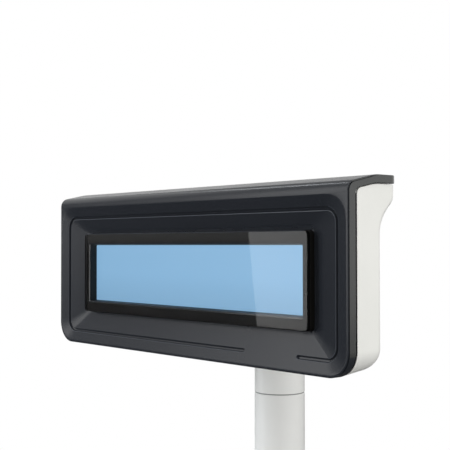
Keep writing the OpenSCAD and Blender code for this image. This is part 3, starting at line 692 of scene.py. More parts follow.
class POLEDISPLAY_OT_finishes(Operator):
    """Makes the shared node groups and every finish"""

    bl_idname = "pole_display.finishes"
    bl_label = "Finishes"

    # name, colour, roughness, scale of the grain, its depth in mm, dust, rubbed edges, constant inputs
    moulded = (
        ("anthracite_plastic", "fascia", 0.24, 1800, 0.014, 0.01, 0.06, {"IOR": 1.55}),
        # The lighter groove-lip finish is a painted highlight.
        ("burnished_edge", "burnished", 0.2, 1800, 0.008, 0.0, 0.0, {"IOR": 1.55}),
        ("white_plastic", "housing", 0.42, 1800, 0.012, 0.05, 0.0, {}),
        ("white_nylon", "pole", 0.36, 1200, 0.01, 0.03, 0.0, {}),
        ("powder_coat", "pole", 0.36, 900, 0.02, 0.03, 0.0, {}),
        ("grey_acetal", "seam", 0.5, 1800, 0.012, 0.0, 0.0, {}),
        ("black_frame", "frame", 0.5, 1800, 0.004, 0.0, 0.0, {}),
        # The polished lip's lighter colour is a painted highlight; its low roughness is real polish.
        ("polished_lip", "lip", 0.12, 1800, 0.001, 0.0, 0.0, {}),
        ("edge_ink", "ink", 0.7, 1800, 0.004, 0.0, 0.0, {"Specular IOR Level": 0.1}),
        ("zinc_steel", "steel", 0.34, 700, 0.02, 0.02, 0.1, {"Metallic": 1.0}),
        ("turned_aluminium", "socket", 0.3, 500, 0.02, 0.02, 0.1, {"Metallic": 1.0}),
        ("ballast_primer", "ballast", 0.6, 900, 0.04, 0.05, 0.3, {}),
        ("black_rubber", "rubber", 0.72, 1500, 0.03, 0.06, 0.1, {}),
        ("solder_mask", "board", 0.4, 1000, 0.01, 0.06, 0.1, {}),
        ("chip_package", "chip", 0.55, 2500, 0.015, 0.06, 0.1, {}),
        ("cream_nylon", "header", 0.5, 1800, 0.012, 0.06, 0.1, {}),
        ("plain_acetal", "bush", 0.45, 1800, 0.012, 0.06, 0.1, {}),
        ("light_guide", "guide", 0.4, 1800, 0.012, 0.06, 0.1, {}),
    )

    def execute(self, context):
        tints = context.scene.pole_display_finish
        grain_group()
        dust_group()
        rub_group()
        for name, tint, *numbers in self.moulded:
            moulded_material(name, getattr(tints, tint), *numbers)
        acrylic_material()
        screen_material(tints.screen)
        return {"FINISHED"}


def roof_line(front, start, sink, radius, steps):
    """Depth and height of the brow and the roof, sunk by a thickness, from an upright face at start."""
    slope = front.roof_slope
    rise = math.tan(slope)
    crest = (front.crest_y, HEAD_H - front.crest_r)
    flat = HEAD_H - front.crest_r * (1 - math.cos(slope))
    foot = flat - (front.crest_y - front.crest_r * math.sin(slope)) * rise
    corner = foot - sink / math.cos(slope) + start * rise
    reach = radius * math.tan(math.pi / 4 - slope / 2)
    turn = 90 + math.degrees(slope)
    brow = arc((start + radius, corner - reach), radius, 180, turn, steps)
    return brow + arc(crest, front.crest_r - sink, turn, 90, steps)


def brow_under(front):
    """Depth and height of the underside of the brow and the roof."""
    return roof_line(front, front.band_d, front.roof_t, front.brow_in_r, UNDER_STEPS)


def height_at(line, y):
    """Height of a roof line at a depth."""
    for first, second in zip(line, line[1:]):
        if first[0] <= y <= second[0] and second[0] > first[0]:
            return first[1] + (second[1] - first[1]) * (y - first[0]) / (second[0] - first[0])
    return line[-1][1] if y > line[-1][0] else line[0][1]


class Dish:
    """The shallow dish of the front shell, whose outline shrinks evenly from its rim to the window."""

    halvings = 24  # steps of the search for a depth
    probe = 0.2 * MM  # reach of the search for a direction
    foot_gaps = 1.5  # room round the window at the foot of the dish, in gaps of the window

    def __init__(self, front, window):
        half_w, half_h, middle = face_of("display_window")
        low, high = front.rim_low, HEAD_H - front.dish_drop
        self.depth = front.dish_d
        self.rim = (HEAD_W / 2 - front.rim_side, (high - low) / 2, (high + low) / 2, front.dish_r)
        self.foot = grown((half_w, half_h, middle - HEAD.z, window.corner_r), self.foot_gaps * window.gap)

    def holds(self, share, x, z):
        """Whether a place lies inside the outline at a share of the depth."""
        half_w, half_h, middle, radius = between(self.rim, self.foot, share)
        right, up = abs(x) - half_w + radius, abs(z - middle) - half_h + radius
        if right <= 0 or up <= 0:
            return max(right, up) <= radius
        return right**DISH_POWER + up**DISH_POWER <= radius**DISH_POWER

    def depth_at(self, x, z):
        """Depth of the dish's face at a place."""
        shallow, deep = 0.0, 1.0
        for _ in range(self.halvings):
            middle = (shallow + deep) / 2
            if self.holds(middle, x, z):
                shallow = middle
            else:
                deep = middle
        return self.depth * shallow

    def inward(self, x, z):
        """Direction straight into the dish's face at a place."""
        step = self.probe
        across = self.depth_at(x + step, z) - self.depth_at(x - step, z)
        up = self.depth_at(x, z + step) - self.depth_at(x, z - step)
        return Vector((-across, 2 * step, -up)).normalized()


class Groove:
    """The ornamental groove in the dish, a loop whose lower run is broken off."""

    lip_shares = (-0.2, 0.0, 0.2, 0.4, 0.6, 0.8, 1.0)  # rows over a round lip
    spread = (-0.36, -0.24, -0.12, 0.0, 0.12, 0.3)  # points along the lower side, in widths of the head
    past_ends = (-0.3, 1.3)  # further points about the ends of the break, in halves of the groove
    clear = 1.25  # from the centre line to where the dish is whole again, in halves of the groove

    def __init__(self, front):
        low, high = front.groove_low, HEAD_H - front.dish_drop - front.groove_high
        self.half_w = HEAD_W / 2 - front.groove_side
        self.half_h = (high - low) / 2
        self.middle = (high + low) / 2
        self.radius = front.groove_r
        self.half = front.groove_w / 2
        self.lip, self.deep = front.groove_lip, front.groove_d
        self.start = HEAD_W / 2 - front.groove_end
        self.stop = self.start - front.groove_break
        self.brink = self.lip * math.sin(WALL_SLANT)
        self.brink_depth = self.lip * (1 - math.cos(WALL_SLANT))

    def marks(self):
        """Places along the lower side at which the rings of the shell need points."""
        steps = self.steps() + [self.half * share for share in self.past_ends]
        ends = [self.stop - step for step in steps] + [self.start + step for step in steps]
        return sorted(ends + [HEAD_W * share for share in self.spread])

    def outline_at(self, offset):
        """Half width, half height, middle and radius of a ring at an offset from the centre line."""
        return grown((self.half_w, self.half_h, self.middle, self.radius), offset)

    def depth_at(self, offset, x, z):
        """Depth of the groove at an offset from its centre line, with rounded ends at its break."""
        inside = self.half
        if z < self.middle - self.half_h + self.radius / 2:
            inside = max(self.stop - x, x - self.start)
        return self.profile(self.half - math.hypot(max(self.half - inside, 0.0), offset))

    def lit(self, offset, x, z):
        """Whether a place is on a side run, or on the lower lip of another run, where the lip gets a
        painted highlight.
        """
        return abs(x) > self.half_w - self.radius or offset * (self.middle - z) > 0

    def profile(self, edge):
        """Depth at a distance inside the groove's edge: a round lip, a steep wall and a flat floor."""
        if edge <= 0:
            return 0.0
        if edge < self.brink:
            return self.lip - math.sqrt(self.lip**2 - edge**2)
        return min(self.brink_depth + (edge - self.brink) * math.tan(WALL_SLANT), self.deep)

    def steps(self):
        """Distances from the groove's edge at which its profile needs points."""
        foot = self.brink + (self.deep - self.brink_depth) / math.tan(WALL_SLANT)
        return [self.brink * share for share in self.lip_shares] + [foot, foot + FOOT_GAP, self.half]


class FrontShell:
    """The dark front shell: its roof and brow, band, dish, groove and back, gathered in one skin."""

    outer_shares = (0.1, 0.5, 1.0)  # rings from the rim of the dish to the groove
    inner_shares = (0.0, 0.35, 0.7)  # rings from the groove to the window
    rim_share = 0.03  # first ring on the dish, on the way from its rim to the groove
    seat_slacks = 4  # width of the seat behind the window's opening, in halves of the window's gap

    def __init__(self, front, window):
        self.skin = Skin()
        self.front = front
        self.slack = window.gap / 2
        self.dish, self.groove = Dish(front, window), Groove(front)
        self.marks = self.groove.marks()
        self.cuts = {}
        self.ends = self.end_rows()
        far = [row[0] - front.edge_r for row in self.ends if row[0] > front.edge_r]
        shares = [distance / (HEAD_W - 2 * front.edge_r) for distance in far[::-1]]
        self.shares = shares + [1 - share for share in shares[::-1]]
        self.brow_z, self.under_z = self.add_roof()

    def build(self):
        """Adds what lies under the roof and returns the skin, with a painted highlight, a lighter finish,
        on the groove's lit lips.
        """
        sides = self.add_band()
        self.skin.loops([sides[0], *self.dish_rings(), *self.mouth_rings(), *self.back_rings(), sides[-1]])
        # Painted highlight: faces on the groove's lit lips, down to a small depth, get the lighter second
        # finish.
        for number, face in enumerate(self.skin.faces):
            depths = [self.cuts.get(corner, -1.0) for corner in face]
            if max(depths) > 0 and 0 <= min(depths) < self.front.groove_highlight_depth:
                self.skin.paint[number] = 1
        return self.skin

    def end_rows(self):
        """Rows of points at an end of the roof.

        Each has its distance from the end, its share of the edge's rounding, and the cut and the run of
        the fine line.
        """
        front = self.front
        rows = [(front.back_r * (1 - math.cos(math.radians(turn))), 0.0, 0.0, 0.0) for turn in END_TURNS]
        for turn in quarter_turns(EDGE_STEPS):
            rows.append((front.edge_r * (1 - math.sin(turn)), 1 - math.cos(turn), 0.0, 0.0))
        rows += [(0.0, 1.0, front.line_d, share * front.line_w) for share in LINE_RUN]
        return rows + [(0.0, 1.0, 0.0, front.line_w)]

    def add_roof(self):
        """Adds the brow and the roof, and returns the heights at which their line starts and ends."""
        front = self.front
        under = brow_under(front)
        edge = front.roof_edge_r
        line = roof_line(front, 0.0, 0.0, front.brow_r, BROW_STEPS)
        line += arc((ROOF_DEPTH - edge, HEAD_H - edge), edge, 90, 0, EDGE_STEPS)
        line += arc((ROOF_DEPTH - edge, HEAD_H - front.roof_t + edge), edge, 0, -90, EDGE_STEPS)
        line += under[::-1]
        inner = len(under) // 2
        radii = [front.edge_r] * (len(line) - inner) + [front.seam_r] * inner
        lined = [min(max(2.0 - i / BROW_STEPS, 0.0), 1.0) for i in range(len(line))]
        rows = []
        for side, stations in ((-1, self.ends[::-1]), (1, self.ends)):
            for far, share, notch, run in stations:
                insets = [radius * share + run * part for radius, part in zip(radii, lined)]
                path = []
                for (y, z), part in zip(inset_path(line, insets), lined):
                    path.append(self.roof_point(side, far + notch * part, y, z))
                rows.append(self.skin.add(path))
        self.skin.runs(rows)
        self.skin.fill(rows[0])
        self.skin.fill(rows[-1])
        return line[0][1], line[-1][1]

    def roof_point(self, side, inward, y, z):
        """A point at a distance from the side of the roof, which is drawn in at its round back corners."""
        front = self.front
        cut = front.back_r - math.sqrt(front.back_r**2 - (front.back_r - inward) ** 2)
        shrink = 1 - cut / (ROOF_DEPTH - front.crest_y)
        deep = y if y < front.crest_y else front.crest_y + (y - front.crest_y) * shrink
        return HEAD + Vector((side * (HEAD_W / 2 - inward), deep, z))

    def ring(self, shape, depth=None, power=2.0):
        """A ring of points at a depth, or else on the face of the dish."""
        half_w, half_h, middle, radius = shape
        points = outline(half_w, half_h, radius, marks=self.marks, top_shares=self.shares, power=power)
        places = [(x, z + middle) for x, z in points]
        depths = [self.dish.depth_at(x, z) if depth is None else depth for x, z in places]
        return self.skin.add(HEAD + Vector((x, y, z)) for (x, z), y in zip(places, depths))

    def band(self, inset, depth, low=None):
        """A ring of the band at a depth, whose top follows the end of the roof."""
        front = self.front
        low = inset if low is None else low
        lined = front.edge_r + front.line_w
        share = (depth - lined) / (front.band_d - lined - front.seam_r)
        top = self.brow_z + (self.under_z - self.brow_z) * min(max(share, 0.0), 1.0)
        half_w, half_h = HEAD_W / 2 - inset, (top - low) / 2
        points = outline(half_w, half_h, front.corner_r - inset, 0.0, self.marks, top_shares=self.shares)
        return self.skin.add(HEAD + Vector((x, depth, z + low + half_h)) for x, z in points)

    def add_band(self):
        """Adds the band round the shell and returns its rings, from the front edge to the seam."""
        front = self.front
        edge = front.edge_r
        rounds = [(1 - math.sin(turn), 1 - math.cos(turn)) for turn in quarter_turns(EDGE_STEPS)]
        rings = [self.band(edge * near, edge * deep, front.low_edge * near) for near, deep in rounds]
        rings += [self.band(front.line_d, edge + share * front.line_w) for share in LINE_RUN]
        rings.append(self.band(0.0, edge + front.line_w))
        rings += [self.band(edge * deep, front.band_d - front.seam_r * near) for near, deep in rounds]
        first_top = 2 * CORNER_STEPS + SIDE_RUNS
        self.skin.loops(rings, skip=range(first_top, first_top + len(self.shares) + 1))
        return rings

    def dish_rings(self):
        """Rings from the rim over the dish and its groove."""
        dish, groove = self.dish, self.groove
        clear = groove.clear * groove.half
        first = between(dish.rim, groove.outline_at(groove.half), self.rim_share)
        outer, inner = groove.outline_at(clear), groove.outline_at(-clear)
        rings = [self.ring(grown(dish.rim, self.front.rim_soft), 0.0, DISH_POWER), self.ring(first)]
        rings += [self.ring(between(first, outer, share)) for share in self.outer_shares]
        rings += self.groove_rings()
        return rings + [self.ring(between(inner, dish.foot, share)) for share in self.inner_shares]

    def groove_rings(self):
        """Rings across the groove, cut straight into the dish; keeps how deep its lit places lie, for the
        painted highlight on the lips.
        """
        groove, points = self.groove, self.skin.points
        steps = [groove.half - step for step in groove.steps()]
        rings = []
        for offset in (*steps, *(-step for step in reversed(steps[:-1]))):
            ring = self.ring(groove.outline_at(offset))
            for number in ring:
                place = Vector(points[number]) - HEAD
                cut = groove.depth_at(offset, place.x, place.z)
                points[number] = tuple(HEAD + place + self.dish.inward(place.x, place.z) * cut)
                if groove.lit(offset, place.x, place.z):
                    self.cuts[number] = cut
            rings.append(ring)
        return rings

    def mouth_rings(self):
        """Rings round the window's opening, from the ledge to the back of the dish's floor."""
        dish, slack = self.dish, self.slack
        ledge = grown(dish.foot, self.front.ledge)
        ledge_y = dish.depth_at(0.0, ledge[2] + ledge[1])
        mouth, seat = grown(dish.foot, -slack), grown(dish.foot, self.seat_slacks * slack)
        back = dish.depth + self.front.floor_t
        rings = [self.ring(ledge), self.ring(dish.foot, ledge_y), self.ring(mouth, ledge_y + slack)]
        return rings + [self.ring(mouth, back), self.ring(seat, back)]

    def back_rings(self):
        """Rings over the back of the shell: the tongue behind the band and the rib under the brow."""
        front = self.front
        tongue, rib = front.band_d + front.tongue_l, front.band_d + front.rib_l
        outer, inner = front.tongue_in, front.tongue_in + front.tongue_t
        top = HEAD_H - front.dish_drop
        under = brow_under(front)
        brow = [(rib, height_at(under, rib))] + [point for point in reversed(under) if point[0] < rib]
        rows = [(inner, front.floor_t, top - inner), (inner, tongue, top - inner)]
        rows += [(outer, tongue, top - outer), (outer, rib, top - outer)]
        rows += [(outer, y, z - FACE_GAP) for y, z in brow]
        rings = []
        for inset, depth, high in rows:
            shape = (HEAD_W / 2 - inset, (high - inset) / 2, (high + inset) / 2, front.corner_r - inset)
            rings.append(self.ring(shape, depth))
        return rings


class POLEDISPLAY_OT_front_shell(Operator):
    """Builds the dark front shell with its dish, groove, band, brow and roof"""

    bl_idname = "pole_display.front_shell"
    bl_label = "Front shell"

    def execute(self, context):
        skin = FrontShell(context.scene.pole_display_front, context.scene.pole_display_window).build()
        # The second finish is the painted highlight on the groove's lips.
        finishes = ["anthracite_plastic", "burnished_edge"]
        make_piece("front_shell", skin, "head", ["front_fascia"], finishes, sharp=50.0)
        return {"FINISHED"}


class POLEDISPLAY_OT_window(Operator):
    """Builds the clear window, with its inked edges and the polished bevel along its top, whose lighter
    finish is a painted highlight
    """

    bl_idname = "pole_display.window"
    bl_label = "Window"

    def execute(self, context):
        window = context.scene.pole_display_window
        low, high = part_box("display_window")
        half_w, half_h, middle = face_of("display_window")
        bevel = window.bevel
        skin = Skin()
        rings = []
        for inset, depth in ((bevel, low.y), (0.0, low.y + bevel), (0.0, high.y - FACE_GAP)):
            points = outline(half_w - inset, half_h - inset, window.corner_r - inset)
            rings.append(skin.add((x, depth, z + middle) for x, z in points))
        front, edge, rear = rings
        top = range(2 * CORNER_STEPS + SIDE_RUNS, 2 * (CORNER_STEPS + SIDE_RUNS))
        skin.face(front)
        skin.loop(front, edge, skip=top, paint=1)
        # The top bevel gets the lighter polished finish: a painted highlight.
        skin.run(front[top.start:top.stop + 1], edge[top.start:top.stop + 1], paint=2)
        skin.loop(edge, rear, paint=1)
        skin.face(rear)
        finishes = ["clear_acrylic", "edge_ink", "polished_lip"]
        make_piece("window_pane", skin, "head", ["display_window"], finishes, sharp=20.0)
        return {"FINISHED"}


class POLEDISPLAY_OT_screen_frame(Operator):
    """Builds the black frame behind the window, with a chamfered opening for the screen"""

    bl_idname = "pole_display.screen_frame"
    bl_label = "Screen frame"

    def execute(self, context):
        front, window = context.scene.pole_display_front, context.scene.pole_display_window
        low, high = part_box("window_frame")
        back_w, _, middle = face_of("window_frame")
        half_w, half_h, _ = face_of("display_window")
        pocket_w, pocket_h, _ = face_of("screen_glass")
        glass_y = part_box("screen_glass")[0].y
        open_w, open_h = half_w - window.border_w, half_h - window.border_h
        margin = back_w - half_w
        seat = HEAD.y + front.dish_d + front.floor_t
        radius, lip, edge = window.corner_r, window.lip, window.frame_edge
        sunk = lip * math.tan(window.lip_slope)
        skin = Skin()
        rings = []
        for wide, tall, corner, depth in (
            (open_w - window.draft_w, open_h - window.draft_h, window.pocket_r, glass_y),
            (open_w, open_h, window.opening_r, low.y + sunk),
            (open_w + lip, open_h + lip, window.opening_r + lip, low.y),
            (half_w - edge, half_h - edge, radius - edge, low.y),
            (half_w, half_h, radius, low.y + edge),
            (half_w, half_h, radius, seat),
            (half_w + margin, half_h + margin, radius, seat),
            (half_w + margin, half_h + margin, radius, high.y),
            (pocket_w, pocket_h, window.pocket_r, high.y),
            (pocket_w, pocket_h, window.pocket_r, glass_y),
        ):
            rings.append(skin.add((x, depth, z + middle) for x, z in outline(wide, tall, corner)))
        # The lip round the opening, the second loop, gets the lighter polished finish: a painted highlight.
        for number, (first, second) in enumerate(zip(rings, rings[1:] + rings[:1])):
            skin.loop(first, second, paint=1 if number == 1 else 0)
        finishes = ["black_frame", "polished_lip"]
        make_piece("screen_frame", skin, "head", ["window_frame"], finishes, sharp=5.0)
        return {"FINISHED"}


class RearHousing:
    """The white rear housing, gathered in one skin from its front edge to its back."""

    side_shares = (0.0, 0.01, 0.03, 0.06, 0.1, 0.16, 0.25, 0.4, 0.6, 0.8, 1.0)  # rings from front to back
    low_shares = (0.3, 0.5, 0.75)  # rows of points on the upright back, in heights of its sweep
    sweep_turns = range(0, 50, 5)  # rows in the sweep, in degrees
    lip_shares = (-1, -0.6, -0.2, 0.2, 0.6, 1)  # rows round the lip, in radii of its rounding
    step_share = 1.2  # depth of the step in the front edge, in halves of the wall

    def __init__(self, front, housing):
        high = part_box("rear_housing")[1]
        self.skin = Skin()
        self.housing = housing
        self.corner = front.corner_r
        self.start = front.band_d + housing.gap
        self.lip = high.y - HEAD.y
        self.top = high.z - HEAD.z
        self.sweep_z = HEAD_H - housing.scoop_drop
        sink = front.roof_t + housing.roof_gap
        self.roof = roof_line(front, self.start, sink, front.brow_in_r, UNDER_STEPS)
        self.under = brow_under(front)
        self.levels = self.side_levels()

    def build(self):
        """Adds the front edge, the sides, the rounded back edges, the back and the inside."""
        housing, start = self.housing, self.start
        half = housing.wall / 2
        edge_y = start + housing.front_r

        def straight(depth):
            return lambda z, low: depth

        def on_side(share):
            return lambda z, low: edge_y + (self.back(z) - self.radius_at(low) - edge_y) * share

        def on_edge(turn):
            return lambda z, low: self.back(z) - self.radius_at(low) * (1 - math.sin(turn))

        rings = [
            self.ring(2 * half, 2 * half, straight(start + housing.rebate)),
            self.ring(half, half, straight(start + housing.rebate)),
            self.ring(half, half, straight(start + self.step_share * half)),
            self.ring(housing.front_r, housing.front_r, straight(start)),
        ]
        for share in self.side_shares:
            rings.append(self.ring(0.0, housing.low_rise * share, on_side(share), share))
        for turn in quarter_turns(EDGE_STEPS)[1:]:
            inward = 1 - math.cos(turn)
            rise = housing.low_rise + housing.low_r * inward
            rings.append(self.ring(housing.edge_r * inward, rise, on_edge(turn), 1.0))
        self.skin.loops(rings)
        self.close_back(rings[-1])
        floor = self.ring(housing.wall, housing.wall, straight(housing.back_y - housing.wall))
        self.skin.loop(floor, rings[0])
        self.skin.run(*self.halves(floor))
        return self.skin

    def side_levels(self):
        """Heights of the rows of points on the sides, above the lower corners."""
        housing = self.housing
        sweep = [self.sweep_z + housing.scoop_r * math.sin(math.radians(turn)) for turn in self.sweep_turns]
        lip_z = sweep[-1] + self.lip - self.back(sweep[-1])
        near = [lip_z + housing.lip_r * share for share in self.lip_shares]
        return [self.sweep_z * share for share in self.low_shares] + sweep + near + [self.top]

    def back(self, z):
        """Depth of the housing's back at a height."""
        housing = self.housing
        up = z - self.sweep_z
        half = housing.scoop_r * math.sin(math.pi / 4)
        if up <= 0:
            return housing.back_y
        if up <= half:
            return housing.back_y + housing.scoop_r - math.sqrt(housing.scoop_r**2 - up**2)
        depth = housing.back_y + housing.scoop_r - half + up - half
        past = (depth - self.lip) / housing.lip_r
        if past <= -1:
            return depth
        return self.lip - housing.lip_r * max(1 - past, 0.0) ** 2 / 4

    def radius_at(self, share):
        """Rounding of the back edge, from the upright sides (0) to the bottom (1)."""
        return self.housing.edge_r + (self.housing.low_r - self.housing.edge_r) * share**2

    def ring(self, inset, rise, depth, share=0.0):
        """A ring round the housing, whose top follows the roof from the front edge to the lip."""
        housing = self.housing
        half_w = HEAD_W / 2 - housing.inset - inset
        wide = self.corner - housing.inset - inset
        tall = self.corner - housing.low_inset - rise
        corner = arc((0.0, 0.0), 1.0, -90, 0, CORNER_STEPS)
        chain = [(half_w - wide + wide * u, self.corner + tall * v, -v) for u, v in corner]
        reach = self.start + (self.lip - housing.edge_r - self.start) * share
        top = min(height_at(self.roof, reach), self.top)
        snug = min(height_at(self.under, reach) - housing.snug_gap, self.top)
        bend = self.sweep_z + housing.bend_up
        for level in self.levels:
            z = level if level < bend else bend + (level - bend) * (top - bend) / (self.top - bend)
            chain.append((half_w, z, 0.0))
        inner = half_w - housing.snug_in
        chain += [(inner, top, 0.0), (inner - housing.snug_run, max(top, snug), 0.0)]
        points = chain + [(-x, z, low) for x, z, low in reversed(chain)]
        return self.skin.add(HEAD + Vector((x, depth(z, low), z)) for x, z, low in points)

    def halves(self, ring):
        """The right and the left half of a ring, each from the bottom up."""
        half = len(ring) // 2
        return ring[:half], ring[:half - 1:-1]

    def hole(self, x, z, radius, depth):
        """A ring of points round a hole in an upright wall."""
        return self.skin.add(HEAD + Vector((u, depth, v)) for u, v in circle(radius, HOLE_STEPS, (x, z)))

    def close_back(self, ring):
        """Closes the back: a flat wall with its wells and recess, and the sweep above it."""
        skin, back_y, edge = self.skin, self.housing.back_y, self.housing.well_edge
        holes = []
        for x, z, radius, floor in self.wells():
            rim = self.hole(x, z, radius + edge, back_y)
            foot = self.hole(x, z, radius, back_y - floor)
            skin.loops([rim, self.hole(x, z, radius, back_y - edge), foot])
            skin.fill(foot)
            holes.append(rim)
        right, left = self.halves(ring)
        flat = CORNER_STEPS + len(self.low_shares) + 2
        skin.fill(right[:flat] + left[:flat][::-1], holes)
        skin.run(right[flat - 1:], left[flat - 1:])

    def wells(self):
        """Place, radius and depth of the four screw wells and of the cable bushing's recess."""
        housing = self.housing
        low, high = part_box("housing_screws")
        x = high.x - housing.screw_r
        zs = (low.z + housing.screw_r - HEAD.z, high.z - housing.screw_r - HEAD.z)
        places = [(side * x, z, housing.well_r, housing.well_d) for side in (-1, 1) for z in zs]
        return places + [(0.0, face_of("cable_bushing")[2] - HEAD.z, housing.cable_r, housing.cable_d)]


class POLEDISPLAY_OT_rear_housing(Operator):
    """Builds the white rear housing with its swept back and its screw wells"""

    bl_idname = "pole_display.rear_housing"
    bl_label = "Rear housing"

    def execute(self, context):
        skin = RearHousing(context.scene.pole_display_front, context.scene.pole_display_housing).build()
        make_piece("rear_shell", skin, "head", ["rear_housing"], ["white_plastic"])
        return {"FINISHED"}


class POLEDISPLAY_OT_pole(Operator):
    """Turns the pole, with a small rounding at the swivel seam"""

    bl_idname = "pole_display.pole"
    bl_label = "Pole"

    def execute(self, context):
        stand = context.scene.pole_display_stand
        low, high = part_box("pole")
        outer = (high.x - low.x) / 2
        inner = outer - stand.pole_wall
        edge = stand.pole_edge_r
        rounding = arc((outer - edge, high.z - edge), edge, 0, 90, SEAM_STEPS)
        profile = [(inner, low.z), (outer, low.z), *rounding, (inner, high.z)]
        skin = turned(profile, (low + high) / 2)
        make_piece("pole_tube", skin, "stand", ["pole"], ["powder_coat"])
        return {"FINISHED"}


class POLEDISPLAY_OT_base_cover(Operator):
    """Builds the white base cover with its round edge, collar hole and cable hole"""

    bl_idname = "pole_display.base_cover"
    bl_label = "Base cover"

    def execute(self, context):
        stand = context.scene.pole_display_stand
        low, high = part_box("base_cover")
        middle = (low + high) / 2
        half_w, half_d = (high.x - low.x) / 2, (high.y - low.y) / 2
        _, grommet_r, inlet_z = face_of("cable_grommet")
        inlet_r = grommet_r - stand.inlet_lip
        skin = Skin()

        def ring(inset, height):
            points = outline(half_w - inset, half_d - inset, stand.base_r - inset, runs=1)
            return skin.add((middle.x + x, middle.y + y, height) for x, y in points)

        def collar(radius, height):
            return skin.add((x, y, height) for x, y in circle(radius, TURN_STEPS))

        def inlet(depth):
            return skin.add((x, depth, z) for x, z in circle(inlet_r, HOLE_STEPS, (0.0, inlet_z)))

        wall, edge, foot = stand.base_wall, stand.base_edge_r, stand.base_foot
        under, inside = high.z - wall, edge - wall
        rounds = [(1 - math.cos(turn), 1 - math.sin(turn)) for turn in quarter_turns(BASE_STEPS)]
        outer = [ring(foot, low.z), ring(0.0, low.z + foot)]
        outer += [ring(edge * inward, high.z - edge * down) for inward, down in rounds]
        inner = [ring(wall, low.z)]
        inner += [ring(wall + inside * inward, under - inside * down) for inward, down in rounds]
        back_side = 2 * CORNER_STEPS + 1
        skin.loop(inner[0], outer[0])
        skin.loop(outer[0], outer[1])
        holes = inlet(high.y), inlet(high.y - wall)
        for rings, hole in ((outer[1:], holes[0]), (inner, holes[1])):
            first, second = rings[:2]
            skin.loop(first, second, skip=[back_side])
            skin.loops(rings[1:])
            sheet = [first[back_side], first[back_side + 1], second[back_side + 1], second[back_side]]
            skin.fill(sheet, [hole])
        skin.loop(*holes)
        radius, bevel = stand.collar_r, stand.collar_edge
        collars = [collar(radius + bevel, high.z), collar(radius, high.z - bevel), collar(radius, under)]
        skin.loops(collars)
        skin.fill(outer[-1], [collars[0]])
        skin.fill(inner[-1], [collars[-1]])
        make_piece("base_shell", skin, "stand", ["base_cover"], ["white_plastic"])
        return {"FINISHED"}


class POLEDISPLAY_OT_hardware(Operator):
    """Rounds the edges of the hinge, the neck and the small pieces, and gives the rest their finish"""

    bl_idname = "pole_display.hardware"
    bl_label = "Hinge, neck and small pieces"

    # node, slot, material and share of the usual rounding
    softened = (
        ("tilt_yoke", "housing", "white_plastic", 1.5),
        ("neck", "pole_white", "white_nylon", 1.0),
        ("tilt_caps", "housing", "white_plastic", 0.6),
        ("cable_grommet", "rubber", "black_rubber", 1.0),
        ("base_pad", "rubber", "black_rubber", 0.8),
        ("housing_screws", "steel", "zinc_steel", 0.4),
    )
    screws = ("board_screws", "yoke_screws", "socket_screws", "clamp_screw", "cover_screws", "weld_nuts")
    hinges = ("friction_washers", "tilt_pin", "tilt_nut", "stop_pin", "retaining_ring")
    dressed = {
        "lit_screen": ("screen_glass",),
        "light_guide": ("backlight",),
        "solder_mask": ("display_board",),
        "chip_package": ("board_chips",),
        "cream_nylon": ("cable_header",),
        "black_rubber": ("cable_bushing",),
        "zinc_steel": screws + hinges,
        "plain_acetal": ("swivel_bush",),
        "grey_acetal": ("thrust_washer",),
        "turned_aluminium": ("pole_socket",),
        "ballast_primer": ("base_plate",),
    }

    def execute(self, context):
        radius = context.scene.pole_display_stand.soften
        for node, slot, material, share in self.softened:
            soften_node(node, material, radius * share)
        for material, nodes in self.dressed.items():
            for node in nodes:
                mesh = frame["nodes"][node].data
                mesh.materials.clear()
                mesh.materials.append(bpy.data.materials[material])
        return {"FINISHED"}


def toward(azimuth, elevation):
    """A direction, by its angle left of straight ahead and its angle above level, in degrees."""
    turn, rise = math.radians(azimuth), math.radians(elevation)
    return Vector((-math.sin(turn) * math.cos(rise), -math.cos(turn) * math.cos(rise), math.sin(rise)))


def add_panel(name, place, facing, width, height, brightness, tint=(1.0, 1.0, 1.0), lean=0.0):
    """A soft rectangular lamp that looks along a direction, with its brightness given as it looks."""
    lamp = bpy.data.lights.new(name, "AREA")
    lamp.shape = "RECTANGLE"
    lamp.color = tint
    lamp.size, lamp.size_y = width, height
    lamp.energy = math.pi * width * height * brightness
    obj = bpy.data.objects.new(name, lamp)
    turn = facing.to_track_quat("-Z", "Y").to_matrix().to_4x4()
    obj.matrix_world = Matrix.Translation(place) @ turn @ Matrix.Rotation(lean, 4, "Z")
    obj.visible_camera = False
    bpy.context.scene.collection.objects.link(obj)
    return obj


def add_stage_piece(name, skin, material, unseen):
    """A part of the studio, which some kinds of ray don't see."""
    mesh = skin.mesh(name)
    mesh.materials.append(bpy.data.materials[material])
    obj = bpy.data.objects.new(name, mesh)
    bpy.context.scene.collection.objects.link(obj)
    for ray in unseen:
        setattr(obj, "visible_" + ray, False)


def seen_ray(tree):
    """1 for what is seen straight on, mirrored or looked through, and 0 for the light that falls."""
    path = tree.nodes.new("ShaderNodeLightPath")
    seen = math_node(tree, "MAXIMUM", path.outputs["Is Camera Ray"], path.outputs["Is Glossy Ray"])
    return math_node(tree, "MAXIMUM", seen, path.outputs["Is Transmission Ray"])


